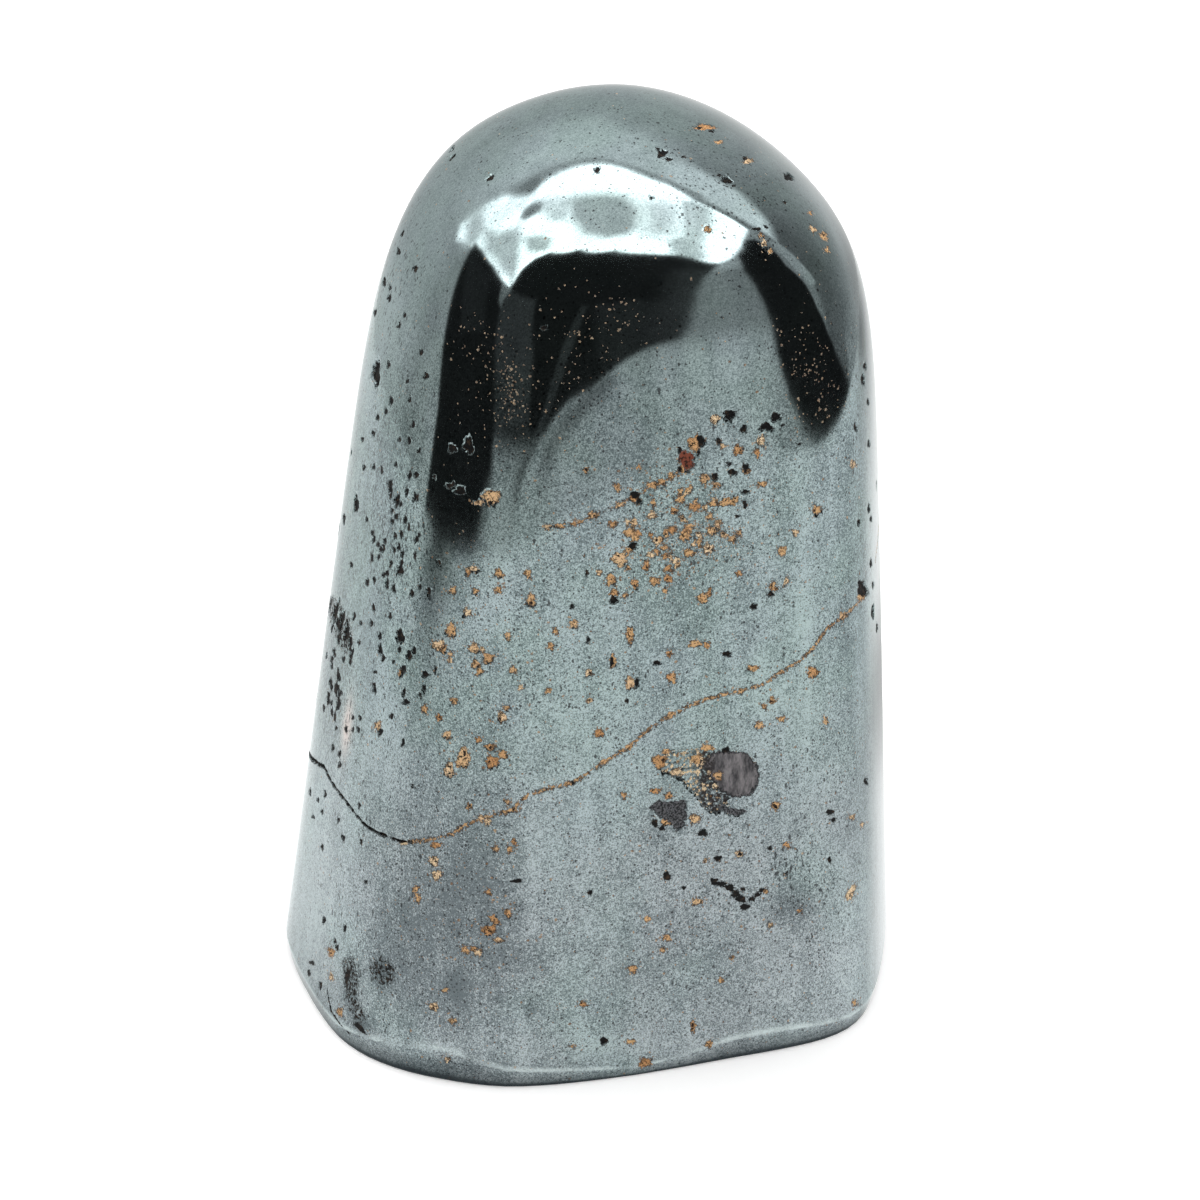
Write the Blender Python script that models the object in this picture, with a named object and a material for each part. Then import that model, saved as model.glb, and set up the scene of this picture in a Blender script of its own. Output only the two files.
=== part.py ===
"""Hematite freeform: one polished, free-standing stone with a flat sawn base.

A stone cutter grinds such a piece against a flat wheel from a dozen sides, rounds
the ridges between them, polishes the whole skin and saws the foot flat. The model
is made the same way. GROUND_FACES says where each ground side faces and how far it
lies from the heart of the stone, and one roundness blends the sides into each other.
The larger pits and the open crack of the natural ore are then sunk into that skin.

Metres, +Z up, the broad front at -Y. The origin lies under the middle of the stone,
on the surface that it stands on.
"""

import math

import bmesh
import bpy
import numpy as np
from mathutils import Vector
from mathutils.bvhtree import BVHTree

MM = 0.001

# The ground shape. An azimuth of 0 faces -Y (the front), 90 faces +X, and a tilt of
# 90 faces up. Distances are in millimetres from the heart.
HEART = Vector((-0.7, -1.8, 44.0)) * MM
RIDGE_CRISPNESS = 9.5
GROUND_FACES = {
    "front": (0, 2.5, 26.3),
    "near corner": (-45, 5.5, 29.3),
    "left": (-91, 7.5, 24.9),
    "right of front": (47, 2.0, 35.0),
    "right": (66, 2.0, 28.9),
    "right corner": (95, 2.5, 34.0),
    "back right": (120, 4.0, 31.0),
    "back": (170, 5.0, 27.0),
    "back left": (-135, 7.5, 25.0),
    "crown": (0, 88, 51.5),
    "crown, front": (-10, 50, 44.4),
    "crown, right": (85, 48, 42.6),
    "crown, left": (-90, 46, 38.5),
    "crown, back": (180, 46, 41.5),
    "keel below the sawn foot": (0, -90, 130.0),
}

# The narrow bevel that the grinder leaves round the sawn foot.
BEVEL_HEIGHT = 1.4 * MM
BEVEL_INSET = 0.9 * MM

# The photograph's camera, which places the marks that it shows: a pixel of the
# square frame is a ray from the eye, and the mark lies where that ray meets the skin.
EYE_AZIMUTH = -18
EYE_ELEVATION = 24
EYE_DISTANCE = 0.53
EYE_TARGET = HEART + Vector((0.86, -0.28, -5.7)) * MM
LENS, SENSOR = 160.0, 36.0
FRAME_PIXELS = 1200

# Hollows seen in the photograph: the pixel of the middle, width and height along the
# skin and depth in millimetres, and how far the hollow leans clockwise in degrees.
SEEN_HOLLOWS = {
    "crumbly patch": ((708, 789), 4.0, 4.6, 0.5, 10),
    "tail of the crumbly patch": ((735, 811), 2.4, 1.2, 0.35, 10),
    "lower black patch": ((669, 816), 3.8, 2.8, 0.45, -20),
    "red-brown pits": ((688, 460), 2.2, 5.2, 0.6, 25),
    "pit beside the red-brown pits": ((636, 497), 1.4, 1.2, 0.35, 0),
    "vein end pit": ((863, 590), 4.0, 2.4, 0.55, 0),
    "dark blob on the ridge": ((491, 498), 1.8, 1.4, 0.35, 0),
    "ochre pit": ((616, 560), 1.5, 1.3, 0.3, 0),
    "lower ochre pit": ((611, 583), 1.3, 1.7, 0.3, 20),
    "left side hole": ((337, 618), 4.6, 4.0, 0.6, 0),
    "left side crumbly column": ((331, 690), 4.4, 8.0, 0.45, 8),
    "left side upper hole": ((377, 374), 2.0, 2.6, 0.5, 0),
    "left side pit by the ridge": ((400, 634), 1.7, 1.4, 0.4, 0),
    "left side paired pit": ((381, 647), 1.8, 1.3, 0.4, 0),
    "left side small hole": ((410, 540), 1.5, 2.4, 0.35, 0),
    "foot hollow": ((379, 971), 3.0, 2.1, 0.4, 0),
    "foot star": ((438, 1043), 1.5, 1.2, 0.3, 0),
    "slit on the crown": ((705, 128), 2.3, 1.0, 0.35, -5),
    "pit on the shoulder": ((788, 179), 1.4, 1.2, 0.35, 0),
    "right edge pit": ((862, 324), 2.2, 1.5, 0.35, 0),
}

# Hollows on the sides that the photograph hides, of the same kinds: azimuth and
# height of the middle, then width, height, depth and lean as above.
HIDDEN_HOLLOWS = {
    "back crumbly patch": ((152, 31), 5.2, 4.2, 0.5, 15),
    "back hole": ((186, 58), 2.2, 3.2, 0.5, -10),
    "back low pit": ((171, 14), 2.6, 1.8, 0.4, 0),
    "back left hole": ((-142, 44), 2.0, 3.0, 0.45, 0),
    "back left low pit": ((-122, 17), 2.4, 1.7, 0.4, 0),
    "right side hole": ((104, 50), 1.9, 2.8, 0.45, 0),
    "right side low patch": ((96, 22), 3.4, 2.4, 0.45, -15),
    "back shoulder pit": ((175, 79), 1.6, 1.4, 0.35, 0),
}

# The open crack low on the left side: pixels of the photograph, right to left, and
# then azimuths and heights where it runs on round the back left corner.
SEEN_CRACK = ((400, 840), (372, 831), (348, 804), (332, 784), (321, 767), (312, 763))
HIDDEN_CRACK = ((-111, 21.5), (-121, 22.5), (-129, 22.0))
CRACK_WIDTH = 0.8 * MM
CRACK_DEPTH = 0.5 * MM
CRACK_STEPS = 4

# Edge lengths of the mesh: on the plain skin, and how fast they shrink towards a mark.
PLAIN_EDGE = 4.8 * MM
FINEST_EDGE = 0.5 * MM
EDGE_GROWTH = 1.0
HOLLOW_EDGES_ACROSS = 3.6
RIM_SHARE = 1.15
FINEST_ROUNDS = 6


def facing(azimuth, tilt):
    """The unit vector that faces an azimuth and a tilt, both in degrees."""
    a, t = math.radians(azimuth), math.radians(tilt)
    return np.array([math.sin(a) * math.cos(t), -math.cos(a) * math.cos(t), math.sin(t)])


FACE_SLOPES = np.array([facing(a, t) / (d * MM) for a, t, d in GROUND_FACES.values()])


def skin(ways):
    """Where rays from the heart along the rows of ways leave the stone, and its normals there.

    Each ground side measures how far a point has come towards it, as 1 at the side. The
    power mean of those measures is 1 all over the skin, which rounds the ridges.
    """
    ways = ways / np.linalg.norm(ways, axis=1, keepdims=True)
    reach = np.maximum(ways @ FACE_SLOPES.T, 0)
    measure = (reach**RIDGE_CRISPNESS).sum(axis=1, keepdims=True) ** (1 / RIDGE_CRISPNESS)
    normals = (reach / measure) ** (RIDGE_CRISPNESS - 1) @ FACE_SLOPES
    normals /= np.linalg.norm(normals, axis=1, keepdims=True)
    return np.array(HEART) + ways / measure, normals


def positions(bm):
    return np.array([vert.co for vert in bm.verts])


def put(bm, points):
    for vert, point in zip(bm.verts, points):
        vert.co = point


def wrap(bm):
    """Moves every vertex along its ray from the heart to the skin."""
    put(bm, skin(positions(bm) - np.array(HEART))[0])


def eye():
    """The photograph's eye point, with the directions of its axis, its right and its up."""
    back = Vector(facing(EYE_AZIMUTH, EYE_ELEVATION))
    right = Vector((math.cos(math.radians(EYE_AZIMUTH)), math.sin(math.radians(EYE_AZIMUTH)), 0))
    return EYE_TARGET + back * EYE_DISTANCE, -back, right, back.cross(right)


def seen_at(tree, pixel):
    """The point of the skin that a pixel of the photograph shows."""
    origin, ahead, right, up = eye()
    per_pixel = SENSOR / LENS / FRAME_PIXELS
    across, down = (value - FRAME_PIXELS / 2 for value in pixel)
    ray = ahead + right * (across * per_pixel) - up * (down * per_pixel)
    return tree.ray_cast(origin, ray)[0]


def side_at(tree, azimuth_height):
    """The point of the skin at an azimuth, in degrees, and a height, in millimetres."""
    azimuth, height = azimuth_height
    outside = Vector(facing(azimuth, 0)) * 0.2
    level = Vector((HEART.x, HEART.y, height * MM))
    return tree.ray_cast(level + outside, -outside)[0]


def hollow_at(middle, width, height, depth, lean):
    """A hollow's middle, its three axes as inverse half lengths, its depth and its least width."""
    centre, normal = (row[0] for row in skin((np.array(middle) - np.array(HEART))[None]))
    across = np.cross([0.0, 0.0, 1.0], normal)
    across /= np.linalg.norm(across)
    along = np.cross(normal, across)
    turn = math.radians(lean)
    first = math.cos(turn) * across - math.sin(turn) * along
    second = math.sin(turn) * across + math.cos(turn) * along
    half_lengths = np.array([width, height, max(width, height)]) * MM / 2
    axes = np.array([first, second, normal]) / half_lengths[:, None]
    return centre, axes, depth * MM, min(width, height) * MM


def ball(subdivisions):
    """A ball of even triangles, wrapped onto the skin."""
    bm = bmesh.new()
    bmesh.ops.create_icosphere(bm, subdivisions=subdivisions, radius=1.0)
    put(bm, positions(bm) + np.array(HEART))
    wrap(bm)
    return bm


def marks():
    """The hollows and the crack's points, found on a fine, still unmarked skin."""
    smooth = ball(6)
    tree = BVHTree.FromBMesh(smooth)
    smooth.free()
    hollows = [hollow_at(seen_at(tree, at), *size) for at, *size in SEEN_HOLLOWS.values()]
    hollows += [hollow_at(side_at(tree, at), *size) for at, *size in HIDDEN_HOLLOWS.values()]
    crack = [seen_at(tree, pixel) for pixel in SEEN_CRACK]
    crack += [side_at(tree, place) for place in HIDDEN_CRACK]
    return hollows, on_skin_between(np.array(crack))


def on_skin_between(line):
    """A line of points with CRACK_STEPS steps between each two, laid on the skin."""
    places = np.linspace(0, len(line) - 1, (len(line) - 1) * CRACK_STEPS + 1)
    dense = np.stack([np.interp(places, range(len(line)), column) for column in line.T], axis=1)
    return skin(dense - np.array(HEART))[0]


def share_from_middle(points, hollow, index):
    """How far points lie from a hollow's middle, as a share of its ragged outline."""
    centre, axes, _, _ = hollow
    x, y, z = ((points - centre) @ axes.T).T
    angle = np.arctan2(y, x)
    ragged = 1 + 0.14 * np.sin(3 * angle + index) + 0.08 * np.sin(5 * angle + 2.3 * index)
    return np.sqrt(x * x + y * y + z * z) / ragged


def crack_distance(points, crack):
    """The distance of points from the crack's line, piece by piece."""
    nearest = np.full(len(points), np.inf)
    for start, end in zip(crack[:-1], crack[1:]):
        run = end - start
        along = np.clip((points - start) @ run / (run @ run), 0, 1)
        nearest = np.minimum(nearest, np.linalg.norm(points - start - along[:, None] * run, axis=1))
    return nearest


def wanted_edge(points, hollows, crack):
    """The edge length that the mesh needs at points: fine in a mark, and growing away from it."""
    wanted = FINEST_EDGE + EDGE_GROWTH * np.maximum(crack_distance(points, crack) - CRACK_WIDTH / 2, 0)
    for centre, axes, _, least in hollows:
        share = np.maximum(np.linalg.norm((points - centre) @ axes.T, axis=1), RIM_SHARE)
        away = np.linalg.norm(points - centre, axis=1) * (1 - RIM_SHARE / share)
        wanted = np.minimum(wanted, max(least / HOLLOW_EDGES_ACROSS, FINEST_EDGE) + EDGE_GROWTH * away)
    return np.minimum(wanted, PLAIN_EDGE)


def refine(bm, hollows, crack):
    """Halves each edge that is longer than the skin needs there, until none is."""
    for _ in range(FINEST_ROUNDS):
        ends = np.array([[vert.co for vert in edge.verts] for edge in bm.edges])
        lengths = np.linalg.norm(ends[:, 0] - ends[:, 1], axis=1)
        above_foot = ends[:, :, 2].max(axis=1) > -PLAIN_EDGE
        long = (lengths > wanted_edge(ends.mean(axis=1), hollows, crack)) & above_foot
        if not long.any():
            break
        edges = [edge for edge, cut in zip(bm.edges, long) if cut]
        bmesh.ops.subdivide_edges(bm, edges=edges, cuts=1, use_grid_fill=True)
        bmesh.ops.triangulate(bm, faces=bm.faces[:])
        wrap(bm)


def carve(bm, hollows, crack):
    """Sinks the hollows and the crack into the skin, along its normals."""
    points, normals = skin(positions(bm) - np.array(HEART))
    sunk = CRACK_DEPTH * np.clip(1.35 - crack_distance(points, crack) / (CRACK_WIDTH / 2), 0, 1)
    for index, hollow in enumerate(hollows):
        share = share_from_middle(points, hollow, index)
        sunk = np.maximum(sunk, hollow[2] * np.clip(1.6 * (1 - share**2), 0, 1))
    put(bm, points - normals * sunk[:, None])


def saw_foot(bm):
    """Cuts the stone flat at the foot and leaves the bevel round it.

    Each cut takes the points within half a bevel of it along, so none stays between them.
    """
    down = Vector((0, 0, -1))
    for height, cut in ((BEVEL_HEIGHT, False), (0.0, True)):
        geometry = bm.verts[:] + bm.edges[:] + bm.faces[:]
        bmesh.ops.bisect_plane(
            bm, geom=geometry, dist=0.51 * BEVEL_HEIGHT, plane_co=Vector((0, 0, height)),
            plane_no=down, use_snap_center=True, clear_outer=cut,
        )
    rim = [vert for vert in bm.verts if vert.is_boundary]
    _, normals = skin(np.array([vert.co - HEART for vert in rim]))
    for vert, normal in zip(rim, normals):
        level = Vector((normal[0], normal[1], 0)).normalized()
        vert.co = (vert.co.x - level.x * BEVEL_INSET, vert.co.y - level.y * BEVEL_INSET, 0)
    open_edges = [edge for edge in bm.edges if edge.is_boundary]
    foot = bmesh.ops.contextual_create(bm, geom=open_edges)["faces"]
    bmesh.ops.poke(bm, faces=foot)


def hematite():
    """Polished iron ore: grey-blue metal with a soft gloss."""
    material = bpy.data.materials.new("polished hematite")
    material.use_nodes = True
    surface = material.node_tree.nodes["Principled BSDF"]
    surface.inputs["Base Color"].default_value = (0.235, 0.27, 0.29, 1)
    surface.inputs["Metallic"].default_value = 1.0
    surface.inputs["Roughness"].default_value = 0.16
    return material


def make_stone():
    """The stone, as one closed mesh in a collection of its own."""
    bm = ball(4)
    hollows, crack = marks()
    refine(bm, hollows, crack)
    carve(bm, hollows, crack)
    saw_foot(bm)
    bmesh.ops.triangulate(bm, faces=bm.faces[:])
    bmesh.ops.recalc_face_normals(bm, faces=bm.faces[:])
    mesh = bpy.data.meshes.new("hematite_stone")
    bm.to_mesh(mesh)
    bm.free()
    mesh.materials.append(hematite())
    mesh.shade_smooth()
    mesh.set_sharp_from_angle(angle=math.radians(38))
    stone = bpy.data.objects.new("hematite_stone", mesh)
    collection = bpy.data.collections.new("Hematite freeform")
    bpy.context.scene.collection.children.link(collection)
    collection.objects.link(stone)
    return stone


for leftover in list(bpy.data.objects):
    bpy.data.objects.remove(leftover)
make_stone()
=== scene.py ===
# %% [markdown]
# # A polished hematite freeform
#
# Hematite is iron ore. Ground on a wheel and polished, it turns into a dark mirror with a
# blue-grey sheen, and what is not iron stays dull in it: ochre in small cavities, a thin
# vein, black crumbly spots and open pits. This notebook dresses one such stone. The packed
# frame gives its size and place, and everything below is worked out in metres around it.

# %% The frame
import math

import bpy
import numpy as np
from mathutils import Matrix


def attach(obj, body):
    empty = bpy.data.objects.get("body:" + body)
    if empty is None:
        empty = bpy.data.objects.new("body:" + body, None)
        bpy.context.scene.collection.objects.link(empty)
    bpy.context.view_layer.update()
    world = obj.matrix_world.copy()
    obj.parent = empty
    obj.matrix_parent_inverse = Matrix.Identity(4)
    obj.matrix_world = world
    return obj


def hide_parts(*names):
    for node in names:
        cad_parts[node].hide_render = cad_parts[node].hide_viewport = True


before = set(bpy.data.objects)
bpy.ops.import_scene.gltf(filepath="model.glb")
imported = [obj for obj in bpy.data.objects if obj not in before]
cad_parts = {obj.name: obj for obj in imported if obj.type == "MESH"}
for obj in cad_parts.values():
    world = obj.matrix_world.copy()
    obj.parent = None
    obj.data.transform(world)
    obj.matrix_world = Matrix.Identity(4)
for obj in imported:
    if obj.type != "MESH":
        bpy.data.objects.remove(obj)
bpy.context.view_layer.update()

MM = 0.001
print("nodes of the frame:", list(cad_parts))

# %% [markdown]
# ## The ground shape
#
# A stone cutter presses the rough piece against a flat wheel from a dozen sides and then
# rolls the ridges away. So the skin is described by those sides, each by where it faces and
# how far it lies from the heart of the stone, and one crispness that blends them. It could
# be sculpted by hand too, but a formula also gives the exact normal at each point, and a
# mirror needs that: the eye sees a wrong normal at once, as a dent in the reflection.

# %% The sides that were ground
HEART = np.array([-0.7, -1.8, 44.0]) * MM
RIDGE_CRISPNESS = 9.5
# Each side's azimuth and tilt in degrees, and its distance from the heart in millimetres.
GROUND_FACES = {
    "front": (0, 2.5, 26.3),
    "near corner": (-45, 5.5, 29.3),
    "left": (-91, 7.5, 24.9),
    "right of front": (47, 2.0, 35.0),
    "right": (66, 2.0, 28.9),
    "right corner": (95, 2.5, 34.0),
    "back right": (120, 4.0, 31.0),
    "back": (170, 5.0, 27.0),
    "back left": (-135, 7.5, 25.0),
    "crown": (0, 88, 51.5),
    "crown, front": (-10, 50, 44.4),
    "crown, right": (85, 48, 42.6),
    "crown, left": (-90, 46, 38.5),
    "crown, back": (180, 46, 41.5),
    "keel below the sawn foot": (0, -90, 130.0),
}


def facing(azimuth, tilt):
    """Unit vectors that face an azimuth and a tilt in degrees: 0 is -Y, 90 is +X, tilt 90 is up."""
    a, t = np.radians(azimuth), np.radians(tilt)
    return np.stack([np.sin(a) * np.cos(t), -np.cos(a) * np.cos(t), np.sin(t) + 0 * a], axis=-1)


FACE_SLOPES = np.array([facing(a, t) / (d * MM) for a, t, d in GROUND_FACES.values()])


def measure(points):
    """How far points are on their way from the heart to the skin, as a share.

    For each ground side, the share is the distance gone towards it over the side's own
    distance. The power mean of those shares is the measure: 1 on the skin, less inside.
    """
    reach = np.maximum((points - HEART) @ FACE_SLOPES.T, 0)
    return (reach**RIDGE_CRISPNESS).sum(axis=-1) ** (1 / RIDGE_CRISPNESS)


def on_skin(points):
    """Points moved along their rays from the heart to the skin: offset over measure."""
    return HEART + (points - HEART) / measure(points)[..., None]


def skin_normals(points):
    """The outward unit normals at points on the skin: the gradient of the measure."""
    reach = np.maximum((points - HEART) @ FACE_SLOPES.T, 0)
    slope = (reach / reach.max(axis=-1, keepdims=True)) ** (RIDGE_CRISPNESS - 1) @ FACE_SLOPES
    return slope / np.linalg.norm(slope, axis=-1, keepdims=True)


print("ground sides:", len(GROUND_FACES), "with the skin's front at",
      on_skin(HEART + np.array([0, -MM, 0]))[1] / MM, "mm")

# %% [markdown]
# ## The camera
#
# The camera stands where the photographer stood: a little above the stone and to the left of
# its broad front, with a long lens. The marks of the stone are then placed by the pixel at
# which the photograph shows them: a ray from the eye through that pixel meets the skin there.

# %% The eye, and where its rays meet the stone
EYE_AZIMUTH, EYE_ELEVATION = -18, 24
EYE_DISTANCE = 0.53
EYE_TARGET = HEART + np.array([0.86, -0.28, -5.7]) * MM
LENS, SENSOR = 160.0, 36.0
FRAME_PIXELS = 1200
RAY_BEFORE, RAY_BEYOND, RAY_STEPS = 0.09, 0.05, 141
BEYOND_SKIN = 0.08

EYE_BACK = facing(EYE_AZIMUTH, EYE_ELEVATION)
EYE_RIGHT = facing(EYE_AZIMUTH + 90, 0)
EYE_UP = np.cross(EYE_BACK, EYE_RIGHT)
EYE = EYE_TARGET + EYE_BACK * EYE_DISTANCE

camera = bpy.data.objects.new("camera", bpy.data.cameras.new("camera"))
camera.data.lens = LENS
camera.data.sensor_width = SENSOR
camera.data.clip_start = 0.01
camera.location = EYE
camera.rotation_euler = (math.radians(90 - EYE_ELEVATION), 0, math.radians(EYE_AZIMUTH))
bpy.context.scene.collection.objects.link(camera)
bpy.context.scene.camera = camera


def seen_at(pixels):
    """Where rays through pixels of the 1200-pixel frame first meet the skin.

    Each ray is stepped until the measure falls under 1, and the last step is halved until
    the point is exact.
    """
    offsets = (np.asarray(pixels, float) - FRAME_PIXELS / 2) * (SENSOR / LENS / FRAME_PIXELS)
    rays = -EYE_BACK + offsets[:, :1] * EYE_RIGHT - offsets[:, 1:] * EYE_UP
    steps = np.linspace(EYE_DISTANCE - RAY_BEFORE, EYE_DISTANCE + RAY_BEYOND, RAY_STEPS)
    shares = measure(EYE + steps[:, None, None] * rays)
    inside = shares < 1
    first = np.where(inside.any(axis=0), inside.argmax(axis=0), shares.argmin(axis=0))
    near, far = steps[np.maximum(first - 1, 0)], steps[first]
    for _ in range(20):
        middle = (near + far) / 2
        within = measure(EYE + middle[:, None] * rays) < 1
        near, far = np.where(within, near, middle), np.where(within, middle, far)
    return on_skin(EYE + far[:, None] * rays)


def side_at(places):
    """Points of the skin at azimuths, in degrees, and heights, in millimetres.

    A level ray goes out from the stone's middle at that height, and is halved to the skin.
    """
    azimuths, heights = np.asarray(places, float).T
    level = np.stack([HEART[0] + 0 * heights, HEART[1] + 0 * heights, heights * MM], axis=1)
    near, far = np.zeros(len(heights)), np.full(len(heights), BEYOND_SKIN)
    for _ in range(30):
        middle = (near + far) / 2
        within = measure(level + middle[:, None] * facing(azimuths, 0 * azimuths)) < 1
        near, far = np.where(within, middle, near), np.where(within, far, middle)
    return on_skin(level + near[:, None] * facing(azimuths, 0 * azimuths))


print("the eye, in mm:", np.round(EYE / MM))

# %% [markdown]
# ## The light tent
#
# A mirror shows its surroundings, so the surroundings are half of the material. Such stones
# are photographed in a small white tent: glowing cloth overhead, dimmer walls, and openings
# towards the camera, where the dark room shows. It makes the black shapes under the crown.
# A real tent would hide the stone from the camera, so this one is seen by reflections and
# by the light, but not by the camera. It is one dome, and its glow is painted per point.

# %% Outlines and soft edges
TENT_RADIUS = 1.6
TENT_COLUMNS, TENT_ROWS = 400, 150
TENT_LOWEST = -24


def depth_in(outline, x, y):
    """How far points lie inside a closed outline, or outside it as a negative number.

    The distance is the least one to any side. A point is inside where a line to the right
    of it crosses the sides an odd number of times.
    """
    start = np.array(outline, float)
    end = np.roll(start, -1, axis=0)
    x, y = x[..., None], y[..., None]
    side = end - start
    share = ((x - start[:, 0]) * side[:, 0] + (y - start[:, 1]) * side[:, 1]) / (side**2).sum(axis=1)
    share = np.clip(share, 0, 1)
    gap = np.hypot(x - start[:, 0] - share * side[:, 0], y - start[:, 1] - share * side[:, 1])
    spans = (start[:, 1] > y) != (end[:, 1] > y)
    height = np.where(side[:, 1] == 0, 1, side[:, 1])
    crossed = spans & (x < start[:, 0] + (y - start[:, 1]) / height * side[:, 0])
    return gap.min(axis=-1) * np.where(crossed.sum(axis=-1) % 2 == 1, 1, -1)


def step(value, softness):
    """0 below nothing and 1 above it, with a smooth rise as wide as the softness."""
    t = np.clip(value / softness + 0.5, 0, 1)
    return t * t * (3 - 2 * t)


def mixed(low, high, share):
    return low + (high - low) * share


def along(knots, value):
    """The value of a curve through its knots, straight between them."""
    return np.interp(value, list(knots), list(knots.values()))


# %% [markdown]
# What each patch of the tent must be is seen in the photograph, as its mirror image on the
# stone. So its outline is given by the pixels where it shows, and the law of the mirror
# sends each of them into the tent: the eye's ray leaves the skin with its part along the
# normal turned round. A fold is such an outline with a glow of its own and the softness of
# its edge. The folds are in five lists: round the ceiling, in it, on the walls, in the dark
# room, and at the edge of the right opening.

# %% The outlines of the ceiling, of the openings and of the folds, by pixel
def mirrored(pixels):
    """The azimuth and elevation in the tent of what the skin mirrors towards the eye at pixels.

    With d the ray and n the normal, the mirrored ray is d - 2 (d . n) n.
    """
    at = seen_at(pixels)
    ray = at - EYE
    ray /= np.linalg.norm(ray, axis=1, keepdims=True)
    out = skin_normals(at)
    ray = ray - 2 * (ray * out).sum(axis=1, keepdims=True) * out
    end = at + TENT_RADIUS * ray - HEART
    level = np.hypot(end[:, 0], end[:, 1])
    return np.stack([np.degrees(np.arctan2(end[:, 0], -end[:, 1])),
                     np.degrees(np.arctan2(end[:, 2], level))], axis=1)


CEILING = [(457, 240), (461, 225), (474, 215), (485, 205), (502, 197), (520, 194), (530, 193),
           (537, 188), (547, 180), (565, 171), (585, 165), (605, 164), (625, 169), (645, 177),
           (670, 186), (685, 194), (692, 199), (715, 210), (735, 221), (748, 230), (744, 238),
           (740, 248), (733, 257), (721, 263), (700, 264), (680, 264), (645, 264), (615, 262),
           (580, 262), (550, 262), (537, 264), (526, 270), (517, 280), (509, 287), (502, 280),
           (491, 264), (475, 249)]
LEFT_GREY = [(478, 222), (500, 232), (520, 226), (522, 238), (519, 250), (519, 262), (512, 286),
             (499, 270), (484, 252)]
LEFT_BRIGHT = [(482, 212), (497, 202), (515, 197), (529, 198), (524, 207), (515, 215), (500, 224),
               (487, 226)]
LOWER_GREY = [(524, 238), (540, 235), (552, 239), (549, 249), (535, 253), (526, 249)]
UPPER_GREY = [(536, 201), (560, 195), (575, 197), (568, 206), (566, 222), (552, 222), (540, 214)]
CREASE = [(519, 219), (524, 209), (534, 202), (543, 203), (541, 211), (533, 216), (525, 221)]
NOTCH = [(511, 197), (520, 187), (536, 176), (542, 181), (537, 190), (530, 196), (520, 197)]
OVAL = [(568, 203), (575, 196), (605, 193), (628, 196), (640, 208), (638, 225), (628, 235),
        (605, 239), (583, 235), (570, 220)]
RIGHT_GREY = [(640, 200), (665, 201), (680, 208), (683, 222), (676, 236), (655, 238), (638, 232)]
SEAM = [(685, 203), (691, 200), (712, 209), (713, 222), (706, 236), (700, 246), (685, 248)]
SEAM_LINE = [(683, 203), (687, 202), (687, 248), (684, 249)]
SEAM_FOOT = [(668, 240), (686, 236), (704, 246), (706, 258), (690, 263), (672, 260)]
LEFT_END = [(464, 248), (464, 227), (472, 213), (483, 204), (490, 206), (486, 222), (480, 236),
            (473, 246)]
RIM_SHADE = [(505, 190), (525, 180), (545, 169), (568, 162), (598, 158), (640, 168), (672, 181),
             (704, 196), (704, 201), (686, 193), (644, 174), (604, 162), (570, 167), (548, 177),
             (530, 190), (508, 197)]
UPPER_SHOULDER = [(480, 195), (505, 160), (545, 130), (598, 122), (640, 138), (684, 165), (672, 182),
                  (640, 170), (600, 160), (566, 166), (540, 182), (505, 197)]
RIGHT_SHOULDER = [(660, 160), (700, 170), (740, 193), (768, 222), (775, 240), (752, 226), (716, 206),
                  (672, 184)]
LOWER_HAZE = [(530, 276), (537, 260), (560, 257), (640, 257), (700, 262), (700, 270), (650, 271),
              (600, 268), (560, 269)]
DOME_FOLDS = [(UPPER_SHOULDER, 1.45, 22.0), (RIGHT_SHOULDER, 1.75, 9.0), (RIM_SHADE, 0.8, 1.6),
              (LOWER_HAZE, 0.16, 3.0)]
CEILING_FOLDS = [(LEFT_END, 1.6, 5.0), (LEFT_GREY, 1.6, 8.0), (LEFT_BRIGHT, 3.6, 4.0),
                 (LOWER_GREY, 1.7, 6.0), (UPPER_GREY, 2.5, 6.0), (CREASE, 0.6, 3.0),
                 (NOTCH, 0.5, 3.0), (RIGHT_GREY, 2.2, 18.0), (OVAL, 1.3, 10.0),
                 (SEAM, 1.9, 8.0), (SEAM_LINE, 1.2, 2.5), (SEAM_FOOT, 1.9, 5.0)]

FRONT_OPENING = [(415, 600), (424, 520), (430, 470), (438, 410), (443, 350), (454, 292), (465, 262),
                 (475, 244), (482, 252), (492, 267), (502, 282), (508, 290), (513, 285), (522, 270),
                 (535, 259), (550, 253), (580, 250), (615, 251), (645, 254), (680, 256), (716, 265),
                 (702, 277), (695, 290), (690, 310), (685, 327), (679, 338), (645, 347), (616, 365),
                 (592, 386), (568, 400), (553, 418), (545, 432), (537, 447), (528, 462),
                 (515, 500), (505, 600)]
RIGHT_OPENING = [(738, 256), (745, 241), (755, 240), (770, 248), (786, 266), (805, 284), (817, 308),
                 (828, 334), (836, 355), (845, 377), (852, 398), (853, 418), (848, 434), (837, 444),
                 (824, 443), (812, 435), (801, 419), (791, 397), (783, 372), (777, 348), (771, 318),
                 (761, 295), (745, 270)]
LIGHT_GAP = [(503, 283), (513, 284), (511, 292), (507, 302), (503, 314), (499, 300)]
GREY_BAND = [(512, 290), (536, 300), (533, 357), (530, 400), (528, 428), (494, 428), (495, 380),
             (496, 340), (503, 300)]
BAND_FOOT = [(494, 446), (520, 455), (560, 440), (560, 620), (466, 620), (479, 540), (492, 485)]
COLUMN_FOOT = [(400, 592), (530, 592), (530, 680), (380, 680)]
COLUMN_TOP = [(474, 252), (492, 275), (486, 330), (462, 330), (464, 280)]
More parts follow.
